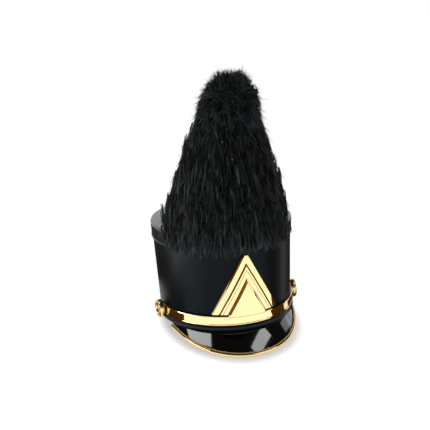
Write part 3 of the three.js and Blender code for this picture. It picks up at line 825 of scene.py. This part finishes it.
class SHAKO_OT_buttons(bpy.types.Operator):
    """Model a button as a ring round a domed middle, and set one at each end of the chin band."""

    bl_idname = "shako.buttons"
    bl_label = "Buttons"

    def execute(self, context):
        seat = max(GAP + BAND_DEPTH, GAP + RIM_DEPTH) + LOOSE_GAP
        shank_end = GAP - WALL - SHANK_REACH
        face = seat + BUTTON_THICKNESS
        dish = BUTTON_RADIUS - BUTTON_RING
        rows = [(SHANK_RADIUS, shank_end), (SHANK_RADIUS, seat)]
        rows += [(BUTTON_RADIUS * radius, seat + BUTTON_THICKNESS * up) for radius, up in RING_OUTLINE]
        rows += [(dish * radius, face - BUTTON_DISH * sink) for radius, sink in DISH_OUTLINE]
        height = BAND_CENTRE - BUTTON_DROP
        for side, node in ((1, "button_left"), (-1, "button_right")):
            deselect()
            bpy.ops.mesh.primitive_circle_add(vertices=64, radius=rows[0][0], location=(0, 0, rows[0][1]))
            button = named(node + "_boss")
            bpy.ops.object.transform_apply(location=True)
            with editing(button):
                for (radius, level), (next_radius, next_level) in zip(rows, rows[1:]):
                    bpy.ops.mesh.extrude_edges_indiv()
                    share = next_radius / radius
                    bpy.ops.transform.resize(value=(share, share, 1), center_override=(0, 0, level))
                    bpy.ops.transform.translate(value=(0, 0, next_level - level))
            close_up(button)
            mark_painted_shade(button, lambda corner: self.painted_hollow_shade(corner.co.xy.length / dish, face - corner.co.z))
            angle = side * BUTTON_ANGLE
            outward = crown_normal(angle, height)
            turn = outward.to_track_quat("Z", "Y").to_matrix().to_4x4()
            button.data.transform(Matrix.Translation(crown_point(angle, 0, height)) @ turn)
            satin_gold = material("satin_gold", gold, SATIN_DULLNESS)
            dress(button, satin_gold, "gold_metal", node, smooth=50)
        return {"FINISHED"}

    @staticmethod
    def painted_hollow_shade(radius_share, depth):
        """Painted shade: the dish is darker than the ring, most of all in the groove round its dome."""
        if radius_share > 0.99 or depth > BUTTON_DISH * 1.2:
            return 0
        return 0.45 if radius_share > 0.75 else 0.12


# The emblem from its outer edge inwards: how far in each step goes, and the height it ends at
EMBLEM_STEPS = [
    (0.0000, 0.0006),
    (0.0021, 0.0034),
    (0.0002, 0.0036),
    (0.0055, 0.0036),
    (0.0003, 0.0034),
    (0.0003, 0.0010),
    (0.0009, 0.0010),
    (0.0004, 0.0036),
    (0.0004, 0.0041),
    (0.0021, 0.0041),
    (0.0002, EMBLEM_LINE_FLOOR),
    (0.0002, EMBLEM_LINE_FLOOR),
    (0.0002, 0.0041),
    (0.0042, 0.0041),
    (0.0029, 0.0073),
    (0.0004, 0.0076),
]


class SHAKO_OT_emblem(bpy.types.Operator):
    """Model the emblem flat, as a triangle stepped inwards, cut it to size and bend it round."""

    bl_idname = "shako.emblem"
    bl_label = "Emblem"

    def execute(self, context):
        band_top = BAND_CENTRE + BAND_HEIGHT / 2
        foot = band_top + EMBLEM_FOOT_RISE
        slope = (EMBLEM_TOP - foot) / (EMBLEM_HALF_WIDTH - EMBLEM_CAP_HALF_WIDTH)
        apex = EMBLEM_TOP + EMBLEM_CAP_HALF_WIDTH * slope
        base = foot - EMBLEM_SPARE
        half = EMBLEM_HALF_WIDTH + EMBLEM_SPARE / slope
        deselect()
        bpy.ops.mesh.primitive_circle_add(vertices=3, radius=1, fill_type="NGON")
        emblem = named("emblem_plate")
        corners = sorted(emblem.data.vertices, key=lambda corner: corner.co.x)
        for corner, (x, y) in zip(corners, ((-half, base), (0, apex), (half, base))):
            corner.co = (x, y, 0)
        level = 0
        with editing(emblem):
            bpy.ops.mesh.normals_make_consistent(inside=False)
            for inset, height in EMBLEM_STEPS:
                rise = (0, 0, height - level)
                if inset:
                    bpy.ops.mesh.inset(thickness=inset, depth=0, use_even_offset=True)
                    bpy.ops.transform.translate(value=rise)
                else:
                    bpy.ops.mesh.extrude_region_move(TRANSFORM_OT_translate={"value": rise})
                level = height
        cut(emblem, (0, foot, 0), (0, -1, 0), away=True)
        cut(emblem, (0, EMBLEM_TOP, 0), (0, 1, 0), away=True)
        close_up(emblem)
        drop_centre(emblem, foot, band_top + LOOSE_GAP)
        cut(emblem, (0, band_top + LOOSE_GAP + EMBLEM_FOOT_SHADE, 0), (0, 1, 0))
        for x in EMBLEM_SLICES:
            cut(emblem, (x, 0, 0), (1, 0, 0))
        mark_painted_shade(emblem, lambda corner: self.painted_hollow_shade(corner.co, band_top + LOOSE_GAP))
        low_half_width = oval_at(foot)[0]
        for corner in emblem.data.vertices:
            x, z, out = corner.co
            corner.co = crown_point(math.asin(x / low_half_width), LOOSE_GAP + out, z)
        close_up(emblem)
        dress(emblem, polished_gold(), "gold_metal", "emblem", smooth=14)
        return {"FINISHED"}

    @staticmethod
    def painted_hollow_shade(place, foot):
        """Painted shade: dark in the grooves and along the foot of the middle triangle, and a little dark
        on the floor of its fine lines.
        """
        if place.z < EMBLEM_GROOVE_FLOOR or place.y < foot + 1e-4:
            return 1
        return 0.8 if abs(place.z - EMBLEM_LINE_FLOOR) < 1e-5 else 0


def cut(piece, point, normal, away=False):
    """Cuts edges along a plane, where the piece can bend, or takes off what lies beyond it."""
    with editing(piece):
        bpy.ops.mesh.bisect(plane_co=point, plane_no=normal, use_fill=away, clear_outer=away)


def drop_centre(piece, foot, level):
    """Lengthens the emblem's middle triangle down to the chin band."""
    reach = EMBLEM_CENTRE_HALF_WIDTH
    for x in (-reach, reach):
        cut(piece, (x, 0, 0), (1, 0, 0))
    with editing(piece):
        bpy.ops.mesh.select_mode(type="FACE")
        bpy.ops.mesh.select_all(action="DESELECT")
    for face in piece.data.polygons:
        face.select = abs(face.center.y - foot) < 1e-5 and abs(face.center.x) < reach - 1e-4
    bpy.ops.object.mode_set(mode="EDIT")
    bpy.ops.mesh.extrude_region_move(TRANSFORM_OT_translate={"value": (0, level - foot, 0)})
    bpy.ops.object.mode_set(mode="OBJECT")


# The plume's outline: height share over the lid, or below it of the hang, then shares of the
# half width and of the front and back depths
PLUME_SECTIONS = [
    (-1.0, 0.95, 0.935, 0.80),
    (-0.5, 0.98, 0.985, 0.90),
    (0.0, 0.975, 1.0, 1.0),
    (0.07, 0.94, 0.995, 0.99),
    (0.17, 0.88, 0.95, 0.97),
    (0.27, 0.81, 0.87, 0.93),
    (0.37, 0.735, 0.78, 0.88),
    (0.47, 0.665, 0.68, 0.82),
    (0.57, 0.595, 0.60, 0.75),
    (0.67, 0.52, 0.52, 0.67),
    (0.77, 0.47, 0.46, 0.62),
    (0.86, 0.395, 0.385, 0.54),
    (0.915, 0.32, 0.31, 0.44),
    (0.955, 0.23, 0.22, 0.32),
    (0.98, 0.13, 0.13, 0.19),
    (0.99, 0.03, 0.03, 0.05),
]


def plume_points(angles, ups, offsets):
    """Points on the plume at angles from its front and height shares, moved out by offsets."""
    table = np.array(PLUME_SECTIONS)
    wide, front, back = (np.interp(ups, table[:, 0], table[:, k]) for k in (1, 2, 3))
    depth = np.where(np.cos(angles) > 0, front * PLUME_FRONT_DEPTH, back * PLUME_BACK_DEPTH)
    across = wide * PLUME_HALF_WIDTH * np.sin(angles)
    along = -depth * np.cos(angles)
    size = np.maximum(np.hypot(across, along), 1e-6)
    share = np.clip(ups, 0, 1)
    x = across * (1 + offsets / size) + lerp(PLUME_FOOT.x, PLUME_TIP.x, share)
    y = along * (1 + offsets / size) + lerp(PLUME_FOOT.y, PLUME_TIP.y, share)
    z = CROWN_HEIGHT + ups * np.where(ups < 0, PLUME_HANG, PLUME_HEIGHT)
    return np.stack([x, y, z], -1)


def clear_of_crown(points, clearance):
    """Moves points off the crown: up onto the lid, or out past the bands at its side."""
    z = np.minimum(points[:, 2], CROWN_HEIGHT)
    half_width, half_length, forward = oval_at(z)
    reach = GAP + TOP_BAND_BEAD + clearance
    x, y = points[:, 0], points[:, 1] + forward
    share = np.hypot(x / (half_width + reach), y / (half_length + reach))
    inside = share < 1
    on_lid = inside & (points[:, 2] > CROWN_HEIGHT - LID_EDGE_ZONE)
    beside = inside & ~on_lid
    moved = points.copy()
    moved[on_lid, 2] = np.maximum(points[on_lid, 2], CROWN_HEIGHT + clearance)
    grow = 1 / np.maximum(share, 1e-6)
    moved[beside, 0] = (x * grow)[beside]
    moved[beside, 1] = (y * grow - forward)[beside]
    return moved


def unit(vectors):
    return vectors / np.maximum(np.linalg.norm(vectors, axis=-1, keepdims=True), 1e-9)


def height_share(heights):
    """The share that the plume's table counts in, for heights in metres over the lid."""
    return heights / np.where(heights < 0, PLUME_HANG, PLUME_HEIGHT)


def fur_frames(angles, heights):
    """The surface of the fur at a place: a point on it, and its outward and sideways directions."""
    ups = height_share(heights)
    here = plume_points(angles, ups, 0 * ups)
    above = plume_points(angles, height_share(heights + PROBE_STEP), 0 * ups)
    beside = plume_points(angles + 0.02, ups, 0 * ups)
    side = unit(beside - here)
    out = unit(np.cross(side, above - here))
    return here, out, side


# How the hair lies at a height over the lid: the pitch of its tip in degrees, and its length
FUR_LIE = [
    (-0.020, -82, 0.027),
    (0.000, -76, 0.026),
    (0.060, -70, 0.026),
    (0.100, -62, 0.027),
    (0.130, -48, 0.028),
    (0.152, -28, 0.028),
    (0.170, 4, 0.026),
    (0.184, 40, 0.027),
    (0.196, 82, 0.030),
]
# How far the tips stand off the plume's surface at a height over the lid
TIP_STAND = [(0.02, -0.0030), (0.12, -0.0022), (0.18, 0.0020), (0.196, 0.0065)]
TIP_SCATTER = 0.0020
# How far the end of a strand strays aside and lifts off, for a loose one and for the others
STRAY = (0.006, 0.0008)
LIFT = (0.0045, 0.0003)
# The tips lie closer on the crest and in the fringe. On the lid they stand a little over it.
CREST_START = 0.15
FRINGE_END = -0.014
CREST_MORE = 0.35
FRINGE_MORE = 0.9
LID_TIPS = (0.001, 0.012)
SEGMENTS = 4
COURSE = np.linspace(0, 1, SEGMENTS + 1)


def lock_paths(look, rng, angles, heights):
    """The course of each lock's middle, root to tip, and the two directions it spreads in."""
    count = len(angles)
    tip, out, side = fur_frames(angles, heights)
    table = np.array(FUR_LIE)
    pitch = np.radians(np.interp(heights, table[:, 0], table[:, 1]))
    crest = np.clip((heights - 0.12) / 0.06, 0, 1)
    pitch += rng.normal(0, 1, count) * np.radians(lerp(10, 17, crest))
    hair = np.interp(heights, table[:, 0], table[:, 2]) * look.length_share
    hair = hair * rng.uniform(0.75, 1.2, count)
    sway = rng.normal(0, 1, count) * np.radians(lerp(20, 28, crest))
    level = unit(out * [1, 1, 0] + 1e-6)
    across = np.cross(level, [0, 0, 1.0])
    bow = lerp(np.radians(30), np.radians(16), crest)
    curl = rng.normal(0, 1, count) * np.radians(30)
    stand = np.interp(heights, *np.array(TIP_STAND).T) + TIP_SCATTER * np.abs(rng.normal(0, 1, count))
    points = [tip + out * stand[:, None]]
    for i in range(SEGMENTS):
        share = 1 - (i + 0.5) / SEGMENTS
        lean = pitch + bow * (0.75 - share)
        turn = sway * (0.4 + 0.6 * share) + curl * (share - 0.4)
        heading = level * np.cos(turn)[:, None] + across * np.sin(turn)[:, None]
        step = heading * np.cos(lean)[:, None] + np.array([0, 0, 1.0]) * np.sin(lean)[:, None]
        points.append(points[-1] - step * (hair / SEGMENTS)[:, None])
    return np.stack(points[::-1], 1), side, out


def strand_paths(look, rng, paths, side, out, each):
    """The strands of each lock: apart at their roots and gathered at the tip."""
    lock = np.repeat(np.arange(len(paths)), each)
    count = len(lock)
    loose = rng.uniform(0, 1, count) < look.loose_share
    spread = lerp(look.lock_width, look.lock_width * 0.2, COURSE**0.8)[None]
    spread = spread * np.where(loose, 1.8, 1)[:, None]
    aside = rng.normal(0, 0.5, count)[:, None] * spread
    outward = rng.normal(0, 0.3, count)[:, None] * spread
    stray = (COURSE**2)[None] * (rng.normal(0, 1, count) * np.where(loose, *STRAY))[:, None]
    lift = (COURSE**2)[None] * (np.abs(rng.normal(0, 1, count)) * np.where(loose, *LIFT))[:, None]
    strands = paths[lock] + side[lock][:, None] * (aside + stray)[..., None]
    strands += out[lock][:, None] * (outward + lift)[..., None]
    reach = rng.uniform(0.86, 1.10, count)[:, None, None]
    strands = strands[:, :1] + (strands - strands[:, :1]) * reach
    return strands, lock, loose


def strand_mesh(name, paths, widths, tones_and_painted_sheen):
    """Three-sided tapered tubes along the paths, joined in one mesh, with a tone at each corner that holds
    painted sheen and painted root shade.
    """
    count = len(paths)
    along = unit(np.gradient(paths, axis=1))
    reference = np.where(np.abs(along[..., 2:3]) > 0.9, [1.0, 0, 0], [0, 0, 1.0])
    u = unit(np.cross(along, reference))
    v = np.cross(along, u)
    taper = np.array([0.7, 1.0, 0.9, 0.6])
    corners = []
    for k in range(3):
        turn = 2 * math.pi * k / 3
        ring = u[:, :-1] * math.cos(turn) + v[:, :-1] * math.sin(turn)
        corners.append(paths[:, :-1] + ring * (widths[:, None] * taper[None])[..., None] / 2)
    rings = np.stack(corners, 2).reshape(count, SEGMENTS * 3, 3)
    vertices = np.concatenate([rings, paths[:, -1:]], 1)
    size = SEGMENTS * 3 + 1
    faces = []
    for s in range(SEGMENTS - 1):
        for k in range(3):
            a, b = s * 3 + k, s * 3 + (k + 1) % 3
            faces += [(a, b, b + 3), (a, b + 3, a + 3)]
    last = (SEGMENTS - 1) * 3
    faces += [(last + k, last + (k + 1) % 3, size - 1) for k in range(3)]
    faces.append((2, 1, 0))
    faces = (np.array(faces)[None] + np.arange(count)[:, None, None] * size).reshape(-1, 3)
    mesh = bpy.data.meshes.new(name)
    mesh.vertices.add(count * size)
    mesh.vertices.foreach_set("co", vertices.reshape(-1).astype(np.float32))
    mesh.loops.add(faces.size)
    mesh.loops.foreach_set("vertex_index", faces.reshape(-1).astype(np.int32))
    mesh.polygons.add(len(faces))
    mesh.polygons.foreach_set("loop_start", (np.arange(len(faces)) * 3).astype(np.int32))
    mesh.polygons.foreach_set("use_smooth", np.ones(len(faces), bool))
    tone = mesh.attributes.new("strand_tone_and_painted_light", "FLOAT", "POINT")
    # painted shade: each strand is darker towards its root, where the coat shades it
    shade = lerp(0.3, 1.0, COURSE**0.6)
    values = tones_and_painted_sheen[:, None] * np.append(np.repeat(shade[:-1], 3), shade[-1])[None]
    tone.data.foreach_set("value", values.reshape(-1).astype(np.float32))
    mesh.update(calc_edges=True)
    piece = bpy.data.objects.new(name, mesh)
    bpy.context.scene.collection.objects.link(piece)
    return piece


class SHAKO_OT_plume(bpy.types.Operator):
    """Model the plume: a dark backing and five coats of fur that hang and stand from it."""

    bl_idname = "shako.plume"
    bl_label = "Plume"

    def execute(self, context):
        look = context.scene.shako_fur
        rows = 44
        columns = 96

        def place(column, row):
            angle = np.array([column / columns * 2 * math.pi])
            up = np.array([lerp(*BACKING_SPAN, row / rows)])
            point = plume_points(angle, up, np.array([-BACKING_DEPTH]))
            return Vector(clear_of_crown(point, FUR_CLEARANCE)[0])

        backing = bent_grid("plume_backing", columns, rows, place)
        close_up(backing, merge=2e-5)
        reach = GAP + TOP_BAND_BEAD + GAP
        cutter = ring_body("plume_cutter", [(reach, z) for z in (0.09, CROWN_HEIGHT + GAP)], False)
        apply_modifier(backing, "BOOLEAN", operation="DIFFERENCE", object=cutter, solver="EXACT")
        bpy.data.objects.remove(cutter)
        dress(backing, material("fur_backing", backing_fur), "fur", "plume", smooth=60)

        rng = np.random.default_rng(look.seed)
        angles = rng.uniform(-math.pi, math.pi, look.locks)
        heights = self.tip_heights(rng, angles)
        middles, side, out = lock_paths(look, rng, angles, heights)
        paths, lock, loose = strand_paths(look, rng, middles, side, out, look.strands_each)
        paths = clear_of_crown(paths.reshape(-1, 3), FUR_CLEARANCE).reshape(paths.shape)
        # painted sheen: a few locks and strands are much lighter, standing for highlights on the black fur
        lock_painted_sheen = rng.uniform(0, 1, look.locks) ** 6
        tones_and_painted_sheen = np.clip(lock_painted_sheen[lock] * 0.45 + 0.75 * rng.uniform(0, 1, len(lock)) ** 5, 0, 1)
        widths = look.thickness * rng.uniform(0.6, 1.25, len(lock)) * np.where(loose, 0.6, 1)
        order = np.argsort(angles[lock], kind="stable")
        parts = ("back_right", "front_right", "front", "front_left", "back_left")
        for part, chosen in zip(parts, np.array_split(order, len(parts))):
            piece = strand_mesh("plume_fur_" + part, paths[chosen], widths[chosen], tones_and_painted_sheen[chosen])
            dress(piece, material("black_fur", fur), "fur", "plume", smooth=0)
        return {"FINISHED"}

    @staticmethod
    def tip_heights(rng, angles):
        """Heights of the tips, even over the fur's surface. None is lower than what it hangs on."""
        table = np.array(PLUME_SECTIONS)
        steps = np.linspace(-PLUME_HANG * 1.3, PLUME_HEIGHT * 1.005, 400)
        weight = np.interp(height_share(steps), table[:, 0], table[:, 1]) + 0.1
        weight += CREST_MORE * (steps > CREST_START) + FRINGE_MORE * (steps < FRINGE_END)
        share = np.cumsum(weight) / weight.sum()
        heights = np.interp(rng.uniform(0, 1, len(angles)), share, steps)
        tips = plume_points(angles, height_share(heights), 0 * heights)
        half_width, half_length, forward = oval_at(tips[:, 2])
        over_lid = np.hypot(tips[:, 0] / half_width, (tips[:, 1] + forward) / half_length) < 0.985
        low = over_lid & (heights < LID_EDGE_ZONE)
        heights[low] = rng.uniform(*LID_TIPS, low.sum())
        return heights


class SHAKO_OT_stem(bpy.types.Operator):
    """Give the hidden post in the plume its finish."""

    bl_idname = "shako.stem"
    bl_label = "Plume stem"

    def execute(self, context):
        stem = frame["nodes"]["plume_stem"]
        stem.data.materials.clear()
        stem.data.materials.append(material("brushed_steel", steel))
        return {"FINISHED"}


# Stage

AIM = Vector((-0.00868, 0.01096, 0.14367))
SOFT_BOX_DISTANCE = 1.5

# The soft boxes: azimuth and elevation in degrees, width and height, share of the light, roll
SOFT_BOXES = [
    ("soft_box_left", -106.5, 48.2, (0.34, 0.86), 0.9, -22),
    ("soft_box_right", 73, 60.4, (0.78, 0.26), 0.75, -28),
    ("side_light", 111, 21, (0.52, 0.17), 0.2, -54),
]

# The floor's cards: apex, the azimuths and the radii between which they lie, colour, level
FLOOR_CARDS = [
    ("card_front", (0, -0.05), -102, 60, 0.11, 2.5, "front", 0.0008),
    ("card_glow", (0, 0), -112, -62, 0.30, 0.85, "glow", 0.0008),
    ("card_left", (-0.075, -0.062), -152, -104, 0.05, 0.25, "dark", 0.0012),
    ("card_back_left", (0, 0), -178, -106, 0.17, 0.44, "dark", 0.0016),
    ("card_right", (0.06, -0.075), 55, 103, 0.05, 1.0, "dark", 0.0012),
    ("card_back_right", (0.06, -0.075), 120, 165, 0.05, 1.0, "dark", 0.0012),
]
# The wall's card: the azimuths between which it stands, its distance, foot and head
WALL_CARD = ("card_left_wall", -104, -56, 1.6, 0.12, 0.85)
GLOW_SHARE = 4.5
WALL_CARD_SHARE = 3.5

# The painted contact shadow on the floor: an oval a little in front of the middle
SHADE_HALF_WIDTH = 0.083
SHADE_HALF_LENGTH = 0.118
SHADE_FORWARD = 0.01


def heading(azimuth, elevation):
    """The direction at an azimuth from the front, towards +X, and an elevation."""
    flat = math.cos(elevation)
    return Vector((math.sin(azimuth) * flat, -math.cos(azimuth) * flat, math.sin(elevation)))


def soft_box(name, aim, azimuth, elevation, size, radiance, roll):
    """A rectangular light that faces the hat and has the same brightness all over."""
    light = bpy.data.lights.new(name, "AREA")
    light.shape = "RECTANGLE"
    light.size, light.size_y = size
    light.energy = radiance * math.pi * size[0] * size[1]
    lamp = bpy.data.objects.new(name, light)
    bpy.context.scene.collection.objects.link(lamp)
    turn = heading(math.radians(azimuth), math.radians(elevation))
    lamp.location = aim + SOFT_BOX_DISTANCE * turn
    facing = turn.to_track_quat("Z", "Y").to_matrix()
    lamp.rotation_euler = (facing @ Matrix.Rotation(roll, 3, "Z")).to_euler()
    lamp.visible_camera = False


def matt(shader, base, colour, strength):
    """A dull surface with a light of its own."""
    set_inputs(shader, Base_Color=(base, base, base, 1), Roughness=1, Specular_IOR_Level=0)
    set_inputs(shader, Emission_Color=(*colour, 1), Emission_Strength=strength)


def reflected_card(card, colour):
    """Gives a card its brightness. Only reflections see it, as with a studio's cards out of view."""
    card.data.materials.append(material(card.name + "_paper", matt, 0.01, colour, 1))
    card.visible_camera = False
    card.visible_diffuse = False
    card.visible_shadow = False
    card.visible_transmission = False


def floor_card(name, apex, start, end, inner, outer, colour, level):
    """A card on the floor: the part of a ring round an apex, between two azimuths."""
    deselect()
    bpy.ops.mesh.primitive_grid_add(x_subdivisions=12, y_subdivisions=1, size=2)
    card = named(name)
    for corner in card.data.vertices:
        azimuth = math.radians(lerp(start, end, (corner.co.x + 1) / 2))
        reach = lerp(inner, outer, (corner.co.y + 1) / 2)
        corner.co = Vector((*apex, level)) + reach * heading(azimuth, 0)
    reflected_card(card, colour)


def wall_card(name, start, end, distance, foot, head, colour):
    """A card that stands round the hat, between two azimuths."""
    deselect()
    bpy.ops.mesh.primitive_grid_add(x_subdivisions=6, y_subdivisions=1, size=2)
    card = named(name)
    for corner in card.data.vertices:
        azimuth = math.radians(lerp(start, end, (corner.co.x + 1) / 2))
        corner.co = distance * heading(azimuth, 0) + Vector((0, 0, lerp(foot, head, (corner.co.y + 1) / 2)))
    reflected_card(card, colour)


def studio_world(low, high):
    """White walls low down, and a darker ceiling over them."""
    world = bpy.data.worlds.new("studio")
    world.use_nodes = True
    background = world.node_tree.nodes["Background"]
    place = add_node(background, "ShaderNodeTexCoord").outputs["Generated"]
    split = add_node(background, "ShaderNodeSeparateXYZ")
    link(place, split.inputs["Vector"])
    height = ranged(background, split.outputs["Z"], 0, 1, From_Min=0.28, From_Max=0.42)
    link(mixed(background, height, low, high), background.inputs["Color"])
    return world


def paper(shader, stage):
    """White paper with a glow of its own, which fades to a painted contact shadow round the hat."""
    glow = stage.floor_glow
    matt(shader, 0.5, (1, 1, 1), glow)
    scale = (1 / SHADE_HALF_WIDTH, 1 / SHADE_HALF_LENGTH, 1)
    foot = mapped(shader, Scale=scale, Location=(0, SHADE_FORWARD / SHADE_HALF_LENGTH, 0))
    reach = add_node(shader, "ShaderNodeVectorMath")
    reach.operation = "LENGTH"
    link(foot, reach.inputs[0])
    span = {"From_Min": 1.0, "From_Max": 1.19}
    fade = ranged(shader, reach.outputs["Value"], glow * stage.contact_shade, glow, **span)
    fade.node.interpolation_type = "SMOOTHSTEP"
    link(fade, shader.inputs["Emission Strength"])


class SHAKO_OT_stage(bpy.types.Operator):
    """Set the pale floor, the soft boxes and the camera."""

    bl_idname = "shako.stage"
    bl_label = "Stage"

    def execute(self, context):
        stage = context.scene.shako_stage
        context.scene.view_settings.view_transform = "Standard"
        context.scene.world = studio_world(stage.wall_light, stage.ceiling_light)

        deselect()
        bpy.ops.mesh.primitive_plane_add(size=24, location=(0, 0, 0))
        floor = named("floor")
        floor.data.materials.append(material("white_paper", paper, stage))

        front = stage.front_card
        colours = {"dark": stage.dark_card, "front": [front] * 3, "glow": [front * GLOW_SHARE] * 3}
        for name, apex, start, end, inner, outer, colour, level in FLOOR_CARDS:
            floor_card(name, apex, start, end, inner, outer, colours[colour], level)
        brown = [shade * WALL_CARD_SHARE for shade in stage.dark_card]
        wall_card(*WALL_CARD, brown)
        for name, azimuth, elevation, size, share, roll in SOFT_BOXES:
            radiance = stage.soft_box_light * share
            soft_box(name, AIM, azimuth, elevation, size, radiance, math.radians(roll))

        camera = bpy.data.objects.new("camera", bpy.data.cameras.new("camera"))
        context.scene.collection.objects.link(camera)
        camera.data.lens = stage.lens
        camera.data.sensor_width = 36
        camera.data.clip_end = 50
        turn = heading(stage.azimuth, stage.elevation)
        camera.location = AIM + stage.distance * turn
        look = turn.to_track_quat("Z", "Y").to_matrix() @ Matrix.Rotation(-stage.roll, 3, "Z")
        camera.rotation_euler = look.to_euler()
        context.scene.camera = camera
        return {"FINISHED"}


class SHAKO_PT_panel(bpy.types.Panel):
    """The shako's pieces, in the order in which they are made."""

    bl_idname = "SHAKO_PT_panel"
    bl_label = "Shako"
    bl_space_type = "VIEW_3D"
    bl_region_type = "UI"
    bl_category = "Shako"

    def draw(self, context):
        for operator in OPERATORS:
            self.layout.operator(operator.bl_idname)
        for group in SETTINGS:
            settings = getattr(context.scene, group)
            for name in settings.__annotations__:
                self.layout.prop(settings, name)


SETTINGS = {
    "shako_crown": ShakoCrownSettings,
    "shako_metal": ShakoMetalSettings,
    "shako_peak": ShakoPeakSettings,
    "shako_fur": ShakoFurSettings,
    "shako_stage": ShakoStageSettings,
}

OPERATORS = [
    SHAKO_OT_stage,
    SHAKO_OT_crown,
    SHAKO_OT_bands,
    SHAKO_OT_peak,
    SHAKO_OT_peak_edge,
    SHAKO_OT_chin_band,
    SHAKO_OT_buttons,
    SHAKO_OT_emblem,
    SHAKO_OT_stem,
    SHAKO_OT_plume,
]


def register():
    for group in (*SETTINGS.values(), *OPERATORS, SHAKO_PT_panel):
        bpy.utils.register_class(group)
    for name, group in SETTINGS.items():
        setattr(bpy.types.Scene, name, PointerProperty(type=group))


def unregister():
    for name in SETTINGS:
        delattr(bpy.types.Scene, name)
    for group in reversed((*SETTINGS.values(), *OPERATORS, SHAKO_PT_panel)):
        bpy.utils.unregister_class(group)


def main():
    register()
    for operator in OPERATORS:
        group, name = operator.bl_idname.split(".")
        getattr(getattr(bpy.ops, group), name)()


if __name__ == "__main__":
    main()
